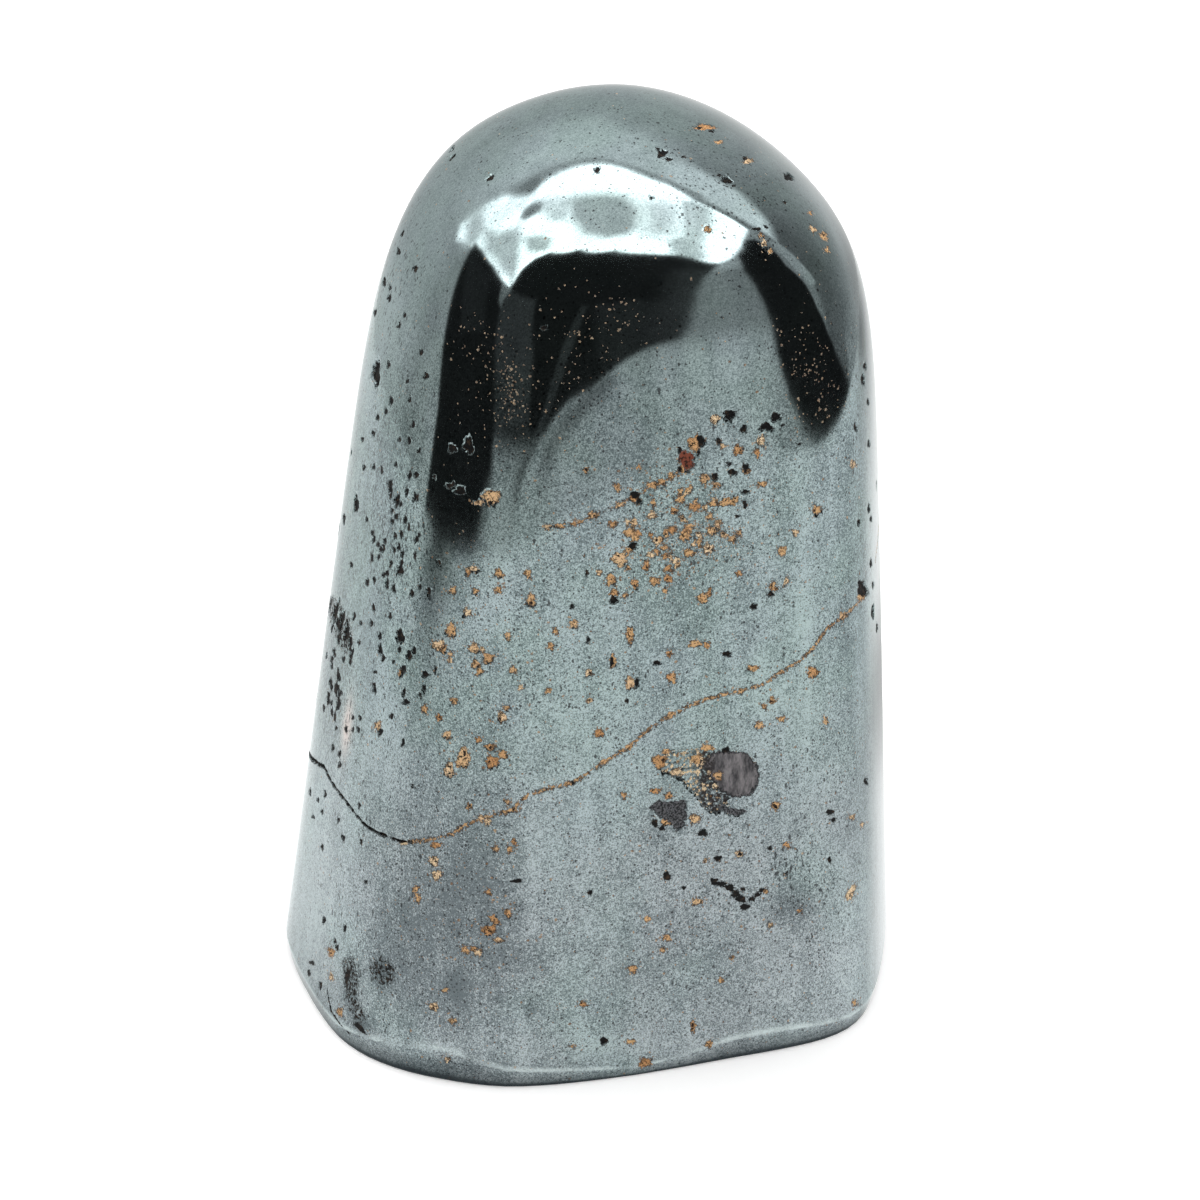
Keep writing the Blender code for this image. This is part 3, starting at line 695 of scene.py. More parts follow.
# %% Ochre, in the same way
SEEN_OCHRE = [
    (620, 559, 1.4, 1.3), (611, 580, 0.9, 1.1), (614, 593, 0.8, 0.6), (626, 595, 0.6, 0.4),
    (635, 584, 0.6, 1.1, 10), (655, 581, 0.9, 0.8), (668, 579, 0.7, 0.7), (646, 567, 0.6, 0.6),
    (668, 569, 0.8, 0.6), (665, 556, 0.5, 0.5), (651, 555, 0.8, 0.5), (629, 533, 0.9, 0.8),
    (635, 537, 0.7, 0.9), (634, 523, 0.6, 0.8), (629, 550, 0.7, 0.5, 30), (652, 515, 0.8, 0.7),
    (652, 485, 0.9, 0.6), (662, 482, 0.8, 0.5, 10), (671, 476, 0.5, 0.7), (620, 505, 0.8, 0.4, 15),
    (593, 515, 0.9, 0.6), (613, 524, 0.8, 0.6), (688, 491, 1.3, 0.5, 50), (681, 499, 0.9, 0.6, 40),
    (705, 479, 0.8, 0.9, -20), (717, 485, 0.6, 0.5), (695, 507, 1.2, 0.6, 5), (713, 504, 1.0, 0.4),
    (727, 502, 1.4, 0.7, 5), (718, 524, 0.6, 0.9), (712, 531, 0.9, 0.7), (724, 535, 0.7, 0.5),
    (733, 539, 0.8, 0.6), (684, 536, 0.9, 0.9), (672, 530, 0.9, 0.6), (690, 526, 0.6, 0.4),
    (657, 541, 0.6, 0.8), (665, 548, 0.7, 0.5), (689, 553, 1.0, 0.7), (708, 549, 0.9, 0.8),
    (703, 598, 1.0, 0.9), (773, 586, 0.5, 0.7), (762, 484, 0.9, 0.4), (782, 551, 0.7, 0.9),
    (795, 533, 0.5, 0.6), (817, 510, 0.8, 0.8), (813, 672, 1.0, 1.0), (752, 669, 0.5, 0.5),
    (760, 725, 0.9, 0.6, 10), (671, 677, 0.8, 0.6), (631, 682, 0.6, 0.5), (550, 646, 0.6, 0.6),
    (513, 670, 0.6, 0.6), (467, 612, 0.7, 0.7), (451, 630, 0.9, 1.2), (438, 645, 1.2, 0.8, 10),
    (453, 590, 0.6, 0.7), (472, 569, 1.2, 0.5), (475, 591, 0.6, 0.5), (499, 573, 0.8, 0.8),
    (498, 590, 0.7, 0.6), (474, 648, 0.9, 0.9), (488, 658, 1.0, 0.9), (476, 664, 0.8, 0.7),
    (508, 636, 0.5, 0.8), (454, 701, 0.6, 0.6), (447, 735, 0.8, 0.8), (502, 717, 0.8, 0.9),
    (506, 708, 0.5, 0.5), (463, 758, 1.2, 1.9, -10), (492, 762, 1.2, 1.1), (503, 755, 0.9, 0.7),
    (490, 747, 0.9, 0.6), (479, 740, 0.6, 0.5), (449, 770, 0.9, 1.4), (491, 497, 1.6, 1.3, 10),
    (633, 969, 1.0, 0.7), (667, 938, 0.7, 0.6), (663, 950, 0.5, 0.4), (583, 1004, 0.7, 0.5),
    (721, 980, 0.6, 0.5), (732, 958, 0.4, 0.4), (697, 902, 1.3, 0.6, 5), (770, 925, 0.5, 0.5),
    (693, 1027, 0.5, 1.2), (709, 1045, 0.6, 0.5), (647, 1064, 0.8, 0.4), (855, 1003, 0.5, 0.6),
    (851, 893, 0.7, 1.6, -25), (489, 930, 1.4, 0.9, 10), (478, 953, 0.8, 0.6), (498, 940, 0.8, 0.5),
    (434, 861, 0.8, 0.9), (437, 875, 0.9, 0.8), (418, 898, 0.5, 0.9), (434, 1007, 0.8, 0.8),
    (453, 1021, 0.6, 0.6), (331, 952, 0.7, 0.9), (331, 977, 0.5, 0.7), (340, 1012, 0.6, 0.8),
    (813, 229, 0.7, 0.5, -20), (824, 236, 0.8, 0.9), (708, 230, 0.5, 0.4), (647, 919, 0.6, 0.6),
    (776, 806, 0.8, 0.8), (740, 854, 0.8, 0.6), (667, 821, 1.2, 0.9), (695, 819, 1.0, 0.8),
    (707, 748, 1.2, 0.7), (697, 760, 1.0, 0.9), (718, 776, 0.8, 0.8), (660, 762, 1.3, 1.2),
    (677, 773, 1.0, 0.7), (667, 752, 0.7, 0.6), (669, 796, 0.8, 0.6), (655, 791, 1.0, 0.5),
    (695, 443, 1.2, 1.4, -30), (683, 468, 0.6, 0.7), (634, 499, 0.9, 0.7), (378, 726, 0.6, 0.9),
    (715, 419, 0.8, 0.8), (738, 450, 0.8, 0.8), (761, 441, 0.7, 0.9), (723, 446, 0.6, 0.5),
    (843, 616, 0.7, 0.7), (861, 596, 0.7, 0.9), (853, 464, 0.6, 0.7), (800, 911, 0.4, 0.4),
    (852, 817, 0.6, 0.5), (787, 845, 0.7, 0.6), (482, 818, 0.9, 0.5, 10), (603, 763, 0.9, 0.5, 30),
    (629, 747, 0.8, 0.5, 30), (671, 715, 0.9, 0.5, 30), (741, 691, 0.8, 0.4, 5),
    (512, 810, 0.8, 0.4, 10), (488, 822, 0.6, 0.6), (436, 845, 1.0, 0.5), (404, 843, 0.7, 0.4),
    (574, 624, 0.8, 0.8), (630, 635, 0.7, 1.5), (613, 661, 0.6, 1.2), (630, 683, 0.9, 1.2),
    (695, 644, 1.3, 0.6, 10), (707, 645, 0.6, 0.6), (669, 654, 0.6, 0.6), (589, 673, 0.6, 0.6),
    (590, 700, 0.5, 0.5), (673, 678, 0.6, 1.1), (599, 733, 0.9, 0.8), (753, 668, 1.0, 0.5),
    (772, 700, 0.6, 0.6), (782, 719, 0.8, 0.5), (775, 589, 0.7, 0.4), (746, 470, 0.7, 0.6),
    (710, 548, 0.6, 0.6), (705, 127, 2.0, 0.6, 8), (719, 142, 0.8, 0.4, 20), (748, 161, 1.0, 0.5, 20),
    (707, 229, 0.6, 0.5), (645, 1063, 1.2, 0.8, 30), (573, 1047, 0.6, 0.4), (709, 1044, 0.7, 0.8),
    (631, 1042, 0.7, 0.5), (531, 600, 0.8, 1.2), (528, 573, 0.6, 0.8), (450, 660, 0.5, 0.5),
    (478, 503, 0.9, 0.4), (764, 243, 0.5, 0.7, -20), (770, 251, 0.4, 0.5), (761, 236, 0.4, 0.4),
    (827, 250, 0.5, 0.5), (810, 213, 0.4, 0.4), (560, 526, 0.9, 0.4), (548, 527, 0.6, 0.4),
    (574, 523, 0.6, 0.4),
]
RED_BROWN = (687, 460, 1.3, 1.7, 15)

# %% The larger patches, the vein and the cracks, as outlines and lines of pixels
SMOOTH_PATCH = [(704, 762), (712, 752), (728, 750), (745, 752), (756, 762), (760, 775), (757, 789),
                (748, 796), (733, 797), (722, 793), (713, 783), (706, 772)]
CRUMBLY_PATCH = [(652, 758), (664, 750), (690, 750), (708, 751), (716, 762), (711, 776), (719, 790),
                 (728, 797), (727, 808), (717, 813), (705, 809), (697, 797), (685, 785), (678, 776),
                 (664, 774)]
LOWER_PATCH = [(650, 808), (656, 800), (672, 802), (686, 800), (687, 815), (683, 827), (676, 831),
               (671, 824), (660, 817), (655, 812)]
PATCH_TAIL = [(722, 803), (729, 808), (746, 811), (739, 818), (730, 814), (720, 809)]
VEIN = [(410, 842), (434, 839), (453, 833), (466, 825), (482, 818), (512, 810), (528, 795),
        (552, 787), (573, 783), (603, 763), (629, 747), (650, 728), (671, 715), (693, 704),
        (720, 695), (741, 691), (762, 685), (779, 673), (800, 661), (813, 648), (827, 629),
        (843, 616), (856, 605), (866, 594)]
SHORT_VEIN = [(540, 527), (560, 525), (580, 522), (594, 515), (618, 506), (640, 493), (653, 486),
              (671, 478), (688, 462), (700, 443)]
OPEN_CRACK = [(303, 757), (312, 759), (324, 767), (332, 783), (348, 804), (367, 827), (383, 835),
              (400, 841), (412, 842)]
FOOT_CRACK = [(327, 989), (331, 1011), (340, 1024), (350, 1036)]
HIDDEN_VEIN = [(58, 45.5), (75, 47.5), (95, 48.5), (115, 47), (135, 42.5), (155, 36.5), (175, 32),
               (195, 27.5), (210, 24)]
HIDDEN_CRACK = [(-111, 21.5), (-121, 22.5), (-129, 22.0)]
SCABS = {
    "left scar": [(326, 600), (334, 596), (342, 606), (349, 620), (353, 636), (350, 650), (344, 654),
                  (338, 640), (331, 622)],
    "foot scab": [(369, 962), (382, 956), (393, 965), (395, 978), (386, 986), (372, 980)],
    "foot streak": [(343, 960), (352, 955), (358, 972), (357, 998), (365, 1018), (358, 1025),
                    (348, 1006), (344, 985)],
}

# %% [markdown]
# ## Scattered marks
#
# Thousands of small grains would be dull to place by hand. Each field below is a soft spot of
# the skin with a number of marks and a range of sizes, drawn with one seeded generator, so
# that the stone comes out the same every time. The smallest are left out of the mesh: there
# the field is only a density, which the material turns into a dust of specks.

# %% Fields of small marks
SEED = 20
SEEN_FIELDS = [
    ("pit", 110, (385, 560), (46, 190), (0.2, 0.52)), ("pit", 240, (334, 692), (12, 50), (0.1, 0.44)),
    ("pit", 60, (345, 700), (30, 100), (0.2, 0.48)), ("pit", 60, (390, 470), (34, 60), (0.2, 0.5)),
    ("pit", 90, (396, 540), (26, 46), (0.2, 0.5)),
    ("pit", 34, (395, 300), (30, 80), (0.2, 0.5)), ("pit", 34, (330, 900), (35, 100), (0.2, 0.55)),
    ("ochre", 110, (680, 530), (75, 55), (0.2, 0.56)), ("pit", 50, (715, 500), (75, 70), (0.15, 0.35)),
    ("ochre", 40, (500, 680), (70, 110), (0.2, 0.6)), ("pit", 26, (500, 650), (80, 110), (0.15, 0.4)),
    ("ochre", 26, (470, 930), (60, 90), (0.25, 0.7)), ("ochre", 22, (680, 900), (90, 90), (0.2, 0.5)),
    ("pit", 60, (790, 850), (70, 110), (0.15, 0.4)), ("ochre", 16, (800, 800), (60, 200), (0.2, 0.5)),
    ("pit", 50, (730, 190), (70, 45), (0.15, 0.4)), ("pit", 34, (560, 130), (130, 40), (0.15, 0.35)),
    ("pit", 26, (402, 240), (26, 70), (0.1, 0.35)),
    ("pit", 20, (860, 400), (20, 150), (0.2, 0.5)), ("ochre", 14, (560, 380), (60, 60), (0.15, 0.35)),
    ("ochre", 22, (812, 370), (26, 62), (0.1, 0.3)), ("pit", 26, (440, 880), (60, 90), (0.15, 0.4)),
    ("ochre", 34, (508, 386), (22, 40), (0.1, 0.3)), ("ochre", 36, (590, 335), (60, 32), (0.1, 0.3)),
    ("ochre", 12, (630, 325), (40, 22), (0.1, 0.3)), ("ochre", 12, (480, 335), (20, 25), (0.1, 0.3)),
    ("pit", 5, (665, 155), (12, 8), (0.1, 0.3)), ("pit", 4, (597, 169), (5, 5), (0.1, 0.3)),
    ("pit", 4, (726, 181), (10, 6), (0.1, 0.3)), ("pit", 5, (767, 243), (12, 9), (0.1, 0.3)),
    ("pit", 30, (868, 560), (9, 60), (0.1, 0.3)), ("pit", 40, (800, 880), (34, 40), (0.1, 0.3)),
    ("pit", 8, (381, 972), (10, 11), (0.1, 0.3)), ("pit", 10, (352, 985), (7, 26), (0.1, 0.3)),
    ("pit", 22, (600, 700), (60, 60), (0.1, 0.3)),
]
HIDDEN_FIELDS = [
    ("pit", 110, (-125, 45), (26, 20), (0.3, 1.0)), ("pit", 60, (160, 40), (30, 22), (0.3, 0.9)),
    ("pit", 46, (100, 45), (22, 24), (0.3, 0.8)), ("ochre", 60, (140, 50), (34, 16), (0.3, 1.2)),
    ("ochre", 40, (-160, 30), (26, 14), (0.3, 1.1)), ("ochre", 20, (95, 25), (16, 14), (0.3, 0.9)),
    ("pit", 24, (180, 76), (60, 7), (0.3, 0.7)),
]
HIDDEN_HOLLOWS = [
    ("pit", 152, 31, 5.2, 4.2, 15), ("pit", 186, 58, 2.2, 3.2, -10), ("pit", 171, 14, 2.6, 1.8, 0),
    ("pit", -142, 44, 2.0, 3.0, 0), ("pit", -122, 17, 2.4, 1.7, 0), ("pit", 104, 50, 1.9, 2.8, 0),
    ("pit", 96, 22, 3.4, 2.4, -15), ("pit", 175, 79, 1.6, 1.4, 0),
]
PIXELS_PER_MM = LENS / SENSOR * FRAME_PIXELS / EYE_DISTANCE * MM
LEAST_FACING = 0.12
LEAST_SEEN, LEAST_HIDDEN = 0.42, 0.52
SEEN_SPREAD, HIDDEN_SPREAD = 0.6, 0.8
SEEN_STRETCH, HIDDEN_STRETCH = (0.9, 1.7), (0.8, 1.5)
SLENDER = {"pit": 0.7, "ochre": 0.9}
LEANS = (-60, 60)
LEAN_SHARE = {"pit": 0.25, "ochre": 1}
LOWEST_AND_HIGHEST = (3, 84)
ABOVE_BEVEL, ABOVE_GROUND = 1.3, 2.6 * MM


def all_marks():
    """The marks' kinds, centres, sizes and axes. A size is half a width, half a height, a lean.

    A seen mark's axes lie level and upright in the picture, so it keeps its shape there. A
    hidden one's lie in the skin, level and uphill. Only ochre lies on the foot's bevel.
    """
    rng = np.random.default_rng(SEED)
    kinds, rows, pixels = [], [], []
    for kind, marks in (("pit", SEEN_PITS), ("star", SEEN_STARS), ("ochre", SEEN_OCHRE),
                        ("red", [RED_BROWN])):
        kinds += [kind] * len(marks)
        rows += [(w, h, *(lean or [0])) for x, y, w, h, *lean in marks]
        pixels += [(x, y) for x, y, *rest in marks]
    for kind, count, middle, spread, sizes in SEEN_FIELDS:
        places = np.array(middle) + rng.normal(size=(count, 2)) * np.array(spread) * SEEN_SPREAD
        size = rng.uniform(*sizes, size=count)
        large = size > LEAST_SEEN
        lean = rng.uniform(*LEANS, count) * LEAN_SHARE[kind]
        shape = np.stack([size * SLENDER[kind], size * rng.uniform(*SEEN_STRETCH, count), lean], axis=1)
        kinds += [kind] * large.sum()
        rows += shape[large].tolist()
        pixels += places[large].tolist()
    seen = seen_at(pixels)
    ways = np.tile(np.stack([EYE_RIGHT, EYE_UP])[None], (len(seen), 1, 1))
    places = [(azimuth, height) for kind, azimuth, height, *rest in HIDDEN_HOLLOWS]
    kinds += [kind for kind, *rest in HIDDEN_HOLLOWS]
    rows += [tuple(rest) for kind, azimuth, height, *rest in HIDDEN_HOLLOWS]
    for kind, count, middle, spread, sizes in HIDDEN_FIELDS:
        spots = np.array(middle) + rng.normal(size=(count, 2)) * np.array(spread) * HIDDEN_SPREAD
        size = rng.uniform(*sizes, size=count)
        large = size > LEAST_HIDDEN
        height = size * rng.uniform(*HIDDEN_STRETCH, count)
        shape = np.stack([size, height, rng.uniform(*LEANS, count)], axis=1)
        kinds += [kind] * large.sum()
        rows += shape[large].tolist()
        spots[:, 1] = np.clip(spots[:, 1], *LOWEST_AND_HIGHEST)
        places += spots[large].tolist()
    hidden = side_at(places)
    out = skin_normals(hidden)
    level = np.cross((0, 0, 1.0), out)
    level /= np.linalg.norm(level, axis=1, keepdims=True)
    ways = np.concatenate([ways, np.stack([level, np.cross(out, level)], axis=1)])
    centres = np.concatenate([seen, hidden])
    sizes = np.array(rows) * (MM / 2, MM / 2, 1)
    facing_eye = skin_normals(centres) @ EYE_BACK
    kept = (np.arange(len(centres)) >= len(seen)) | (facing_eye > LEAST_FACING)
    earthy = np.array(kinds) == "ochre"
    kept &= earthy | ((bevel_share(centres) > ABOVE_BEVEL) & (centres[:, 2] > ABOVE_GROUND))
    return np.array(kinds)[kept], centres[kept], sizes[kept], ways[kept]


KINDS, CENTRES, SIZES, WAYS = all_marks()
print("marks:", len(KINDS), {kind: int((KINDS == kind).sum()) for kind in np.unique(KINDS)})

# %% Lines and outlines on the skin
def closer(places, pieces=6):
    """A line of places with each of its stretches cut into equal pieces, so that it hugs the skin."""
    places = np.array(places, float)
    steps = np.linspace(0, len(places) - 1, (len(places) - 1) * pieces + 1)
    return np.stack([np.interp(steps, np.arange(len(places)), column) for column in places.T], axis=1)


PATCHES = {"smooth": SMOOTH_PATCH, "crumbly": CRUMBLY_PATCH, "lower": LOWER_PATCH, "tail": PATCH_TAIL,
           **SCABS}
LINES = {"vein": (seen_at(VEIN), side_at(closer(HIDDEN_VEIN))), "short": (seen_at(SHORT_VEIN),),
         "crack": (seen_at(OPEN_CRACK), side_at(closer(HIDDEN_CRACK))),
         "foot crack": (seen_at(FOOT_CRACK),)}


def pixel_of(points):
    """The pixel where points are seen from the eye, and how squarely the skin faces it."""
    away = points - EYE
    depth = -(away @ EYE_BACK)
    scale = LENS / SENSOR * FRAME_PIXELS / depth
    x = FRAME_PIXELS / 2 + away @ EYE_RIGHT * scale
    y = FRAME_PIXELS / 2 - away @ EYE_UP * scale
    return x, y, skin_normals(points) @ EYE_BACK


SEEN_PEAK, SEEN_FALL = 0.44, 1.4
HIDDEN_PEAK, HIDDEN_FALL = 0.88, 0.8


def dust(points, kind):
    """How thick a kind's specks lie at points: the fields' bell curves, in marks per square mm.

    A field's peak is its count over the product of its two spreads, times a share, and it
    falls off with the square of the distance in spreads. The azimuth of a point is atan2(x, -y).
    """
    x, y, square = pixel_of(points)
    azimuth = np.degrees(np.arctan2(points[:, 0], -points[:, 1]))
    total = np.zeros(len(points))
    for own, count, middle, spread, sizes in SEEN_FIELDS:
        far = np.square((x - middle[0]) / spread[0]) + np.square((y - middle[1]) / spread[1])
        peak = count / (spread[0] * spread[1]) * PIXELS_PER_MM**2 * SEEN_PEAK
        total += (own == kind) * (square > 0) * peak * np.exp(-SEEN_FALL * far)
    for own, count, middle, spread, sizes in HIDDEN_FIELDS:
        turn = (azimuth - middle[0] + 180) % 360 - 180
        far = np.square(turn / spread[0]) + np.square((points[:, 2] / MM - middle[1]) / spread[1])
        peak = count / (spread[0] * spread[1]) * HIDDEN_PEAK
        total += (own == kind) * peak * np.exp(-HIDDEN_FALL * far)
    return total


def line_gap(points, line):
    """The distance from points to a line of straight pieces between places on the skin."""
    gap = np.full(len(points), np.inf)
    for start, end in zip(line[:-1], line[1:]):
        side = end - start
        share = np.clip((points - start) @ side / (side @ side), 0, 1)
        gap = np.minimum(gap, np.linalg.norm(points - start - share[:, None] * side, axis=1))
    return gap


# %% [markdown]
# ## Cutting the mesh finer where the marks are
#
# A pit of half a millimetre needs edges of a quarter, but the whole skin at that size would
# be a million triangles. So the coarse grid is cut in rounds: an edge is halved when it is
# longer than the marks near it allow. A triangle with a cut edge always has its longest edge
# cut too, which keeps the triangles from growing thin, and the new points move to the skin.

# %% How fine the mesh must be
COARSEST, FINEST = 1.9 * MM, 0.22 * MM
EDGES_ACROSS_RADIUS = 0.5
GROWTH = 1.1
CUT_ROUNDS, SPREAD_ROUNDS = 6, 12
REACH_IN_SIZES, FINE_SHARE = 3, 1.12
LINE_HALF_WIDTH, LINE_MARGIN = 0.4 * MM, 3 * MM
PATCH_REACH_PIXELS = 80
LINE_EDGE = {"vein": 0.5 * MM, "short": 0.5 * MM, "crack": 0.22 * MM, "foot crack": 0.22 * MM}
PATCH_EDGE = {"smooth": 0.3 * MM, "crumbly": 0.2 * MM, "lower": 0.2 * MM, "tail": 0.2 * MM,
              **dict.fromkeys(SCABS, 0.4 * MM)}


def bands(points, reaches):
    """For each mark, the points within its reach in height, from one sorting of the heights."""
    order = np.argsort(points[:, 2])
    heights = points[order, 2]
    low = np.searchsorted(heights, CENTRES[:, 2] - reaches)
    high = np.searchsorted(heights, CENTRES[:, 2] + reaches)
    return [order[first:last] for first, last in zip(low, high)]


def own_share(offset, size, way):
    """The distance from a mark's centre, in its own leaning axes, as a share of its half sizes."""
    level, rise, lean = offset @ way[0], offset @ way[1], math.radians(size[2])
    across = (level * math.cos(lean) + rise * math.sin(lean)) / size[0]
    upward = (rise * math.cos(lean) - level * math.sin(lean)) / size[1]
    return np.hypot(across, upward), np.arctan2(upward, across)


def wanted_edge(points):
    """The longest edge allowed at points: a share of a mark's radius inside it, growing outside."""
    wanted = np.full(len(points), COARSEST)
    reaches = SIZES[:, :2].max(axis=1) * REACH_IN_SIZES + COARSEST / GROWTH
    bands_of = bands(points, reaches)
    for band, reach, centre, size, way in zip(bands_of, reaches, CENTRES, SIZES, WAYS):
        offset = points[band] - centre
        close = np.square(offset).sum(axis=1) < np.square(reach)
        gap = (own_share(offset[close], size, way)[0] - FINE_SHARE) * size[:2].mean()
        edge = max(EDGES_ACROSS_RADIUS * size[:2].min(), FINEST)
        chosen = band[close]
        wanted[chosen] = np.minimum(wanted[chosen], edge + GROWTH * np.maximum(gap, 0))
    for name, parts in LINES.items():
        for line in parts:
            low, high = line.min(axis=0) - LINE_MARGIN, line.max(axis=0) + LINE_MARGIN
            near = np.flatnonzero(((points > low) & (points < high)).all(axis=1))
            gap = line_gap(points[near], line) - LINE_HALF_WIDTH
            wanted[near] = np.minimum(wanted[near], LINE_EDGE[name] + GROWTH * np.maximum(gap, 0))
    x, y, square = pixel_of(points)
    for name, outline in PATCHES.items():
        across, down = np.array(outline).mean(axis=0)
        near = np.flatnonzero((np.hypot(x - across, y - down) < PATCH_REACH_PIXELS) & (square > 0))
        gap = -depth_in(outline, x[near], y[near]) / PIXELS_PER_MM * MM
        wanted[near] = np.minimum(wanted[near], PATCH_EDGE[name] + GROWTH * np.maximum(gap, 0))
    return wanted


def cut_once(points, faces, wanted_at):
    """Halves every edge that is too long, and splits its triangles into two, three or four."""
    ends = np.sort(faces[:, [[0, 1], [1, 2], [2, 0]]].reshape(-1, 2), axis=1)
    key, edge_of = np.unique(ends[:, 0] * len(points) + ends[:, 1], return_inverse=True)
    edges = np.stack([key // len(points), key % len(points)], axis=1)
    edge_of = edge_of.reshape(-1, 3)
    length = np.linalg.norm(points[edges[:, 0]] - points[edges[:, 1]], axis=1)
    middles = points[edges].mean(axis=1)
    cut = length > FINEST
    cut[cut] = length[cut] > wanted_at(middles[cut])
    longest = edge_of[np.arange(len(faces)), length[edge_of].argmax(axis=1)]
    for _ in range(SPREAD_ROUNDS):
        touched = cut[edge_of].any(axis=1)
        cut[longest[touched]] = True
    number = np.full(len(edges), -1)
    number[cut] = len(points) + np.arange(cut.sum())
    new = middles[cut]
    on = bevel_share(new) > SKIN_STARTS
    new[on] = on_skin(new[on])
    mids, turns = number[edge_of], length[edge_of].argmax(axis=1)
    roll = (np.arange(3) + turns[:, None]) % 3
    a, b, c = np.take_along_axis(faces, roll, axis=1).T
    ab, bc, ca = np.take_along_axis(mids, roll, axis=1).T
    pieces = []
    for has_bc, has_ca, corners in (
            (False, False, ((a, ab, c), (ab, b, c))),
            (True, False, ((a, ab, c), (ab, b, bc), (ab, bc, c))),
            (False, True, ((a, ab, ca), (ca, ab, c), (ab, b, c))),
            (True, True, ((a, ab, ca), (ab, b, bc), (ca, ab, c), (ab, bc, c)))):
        chosen = (ab >= 0) & ((bc >= 0) == has_bc) & ((ca >= 0) == has_ca)
        pieces += [np.stack(corner, axis=1)[chosen] for corner in corners]
    pieces.append(faces[ab < 0])
    return np.concatenate([points, new]), np.concatenate(pieces)


for _ in range(CUT_ROUNDS):
    before = len(faces)
    points, faces = cut_once(points, faces, wanted_edge)
    print("cut finer:", len(faces), "triangles")
    if len(faces) == before:
        break

# %% [markdown]
# ## Sinking the marks
#
# Every mark is a ragged oval: its rim swells and shrinks with three waves round it. Inside
# the rim the skin goes down, steeply at first and then flat, as in a broken-out grain. The
# same ovals also tell the material where it is, as a distance to the rim, which stays sharp
# between points where a plain colour would blur.

# %% The ragged ovals
PIT_DEPTH, MOST_DEPTH = 0.42, 0.55 * MM
OCHRE_DEPTH = 0.16
MOST_OCHRE_DEPTH = 0.09 * MM
FAR_OUTSIDE = -1.4
RIM_WAVES = ((3, 0.13), (5, 0.09), (9, 0.05))
FULL_TURN = 6.28
WALL_STARTS, WALL_SOFTNESS = 1.25, 0.5


def mark_fields(points):
    """For each point: how deep it sinks, its depth inside dark and ochre marks, and their tone.

    A mark's share is the point's distance from its centre, in its own axes, over the ragged
    rim; the depth inside, in millimetres, is one less that share, times the mean radius.
    """
    rng = np.random.default_rng(SEED + 1)
    sink = np.zeros(len(points))
    inside = {kind: np.full(len(points), FAR_OUTSIDE) for kind in ("pit", "star", "ochre", "red")}
    tone = np.zeros(len(points))
    reach_of = SIZES[:, :2].max(axis=1) * 2 / LEAST_FACING**0.5 - FAR_OUTSIDE * MM
    band_of = bands(points, reach_of)
    for kind, centre, size, way, reach, band in zip(KINDS, CENTRES, SIZES, WAYS, reach_of, band_of):
        near = band[np.abs(points[band] - centre).max(axis=1) < reach]
        plain_share, turn = own_share(points[near] - centre, size, way)
        rim = 1
        for (number, height), phase in zip(RIM_WAVES, rng.uniform(0, FULL_TURN, len(RIM_WAVES))):
            rim = rim + height * np.sin(number * turn + phase)
        share = plain_share / rim
        radius = size[:2].mean()
        depth = (1 - share) * radius / MM
        own_tone = rng.uniform(0, 1)
        better = depth > inside[kind][near]
        if kind in ("ochre", "red"):
            tone[near] = np.where(better, own_tone, tone[near])
        inside[kind][near] = np.maximum(inside[kind][near], depth)
        if kind == "star":
            continue
        deepest = min(PIT_DEPTH * radius, MOST_DEPTH)
        if kind == "ochre":
            deepest = min(OCHRE_DEPTH * radius, MOST_OCHRE_DEPTH)
        fall = step(1 - share, WALL_SOFTNESS) * step(WALL_STARTS - share, WALL_SOFTNESS)
        sink[near] = np.maximum(sink[near], deepest * fall)
    return sink, inside, tone


skin_points = points.copy()
SINK, INSIDE, TONE = mark_fields(points)
print("deepest mark:", SINK.max() / MM, "mm")

# %% Patches, veins and cracks
CRACK_DEPTH, VEIN_DEPTH, GRAIN_DEPTH = 0.4 * MM, 0.05 * MM, 0.035 * MM
VEIN_HALF_WIDTH, SHORT_HALF_WIDTH, FOOT_CRACK_HALF_WIDTH = 0.13 * MM, 0.07 * MM, 0.11 * MM
VEIN_REACH, VEIN_TONE = 0.3, 0.6
LINE_WANDER, LINE_WAVE = 0.08 * MM, 1.9 * MM
CLEAR_OF_BEVEL = 1.35
PATCH_DEPTH = {"smooth": 0.05 * MM, "crumbly": 0.3 * MM, "lower": 0.22 * MM, "tail": 0.2 * MM,
               **dict.fromkeys(SCABS, 0.07 * MM)}
CRACK_HALF_WIDTH = {303: 0.27, 325: 0.20, 350: 0.17, 385: 0.15, 412: 0.07}
picture_x, picture_y, squareness = pixel_of(points)


def waves(points, size):
    """A cheap smooth roughness from -1 to 1: two bent sine waves multiplied, and a slanting one."""
    turns = 2 * np.pi * points / size
    return (np.sin(turns[:, 0] + 1.7 * np.sin(turns[:, 1] * 0.8))
            * np.sin(turns[:, 2] + 1.3 * np.sin(turns[:, 0] * 0.9 + 2)) * 0.7
            + np.sin(turns[:, 1] * 1.3 + turns[:, 2] * 0.6) * 0.3)


def patch_depth(name):
    """How far each point lies inside a patch's outline, in millimetres, on the seen side only.

    Two waves, of 0.9 and 0.5 mm, make the outline ragged.
    """
    depth = depth_in(PATCHES[name], picture_x, picture_y) / PIXELS_PER_MM
    depth = depth + 0.16 * waves(points, 0.9 * MM) + 0.1 * waves(points[:, [1, 2, 0]], 0.5 * MM)
    return np.where(squareness > 0, np.maximum(depth, FAR_OUTSIDE), FAR_OUTSIDE)


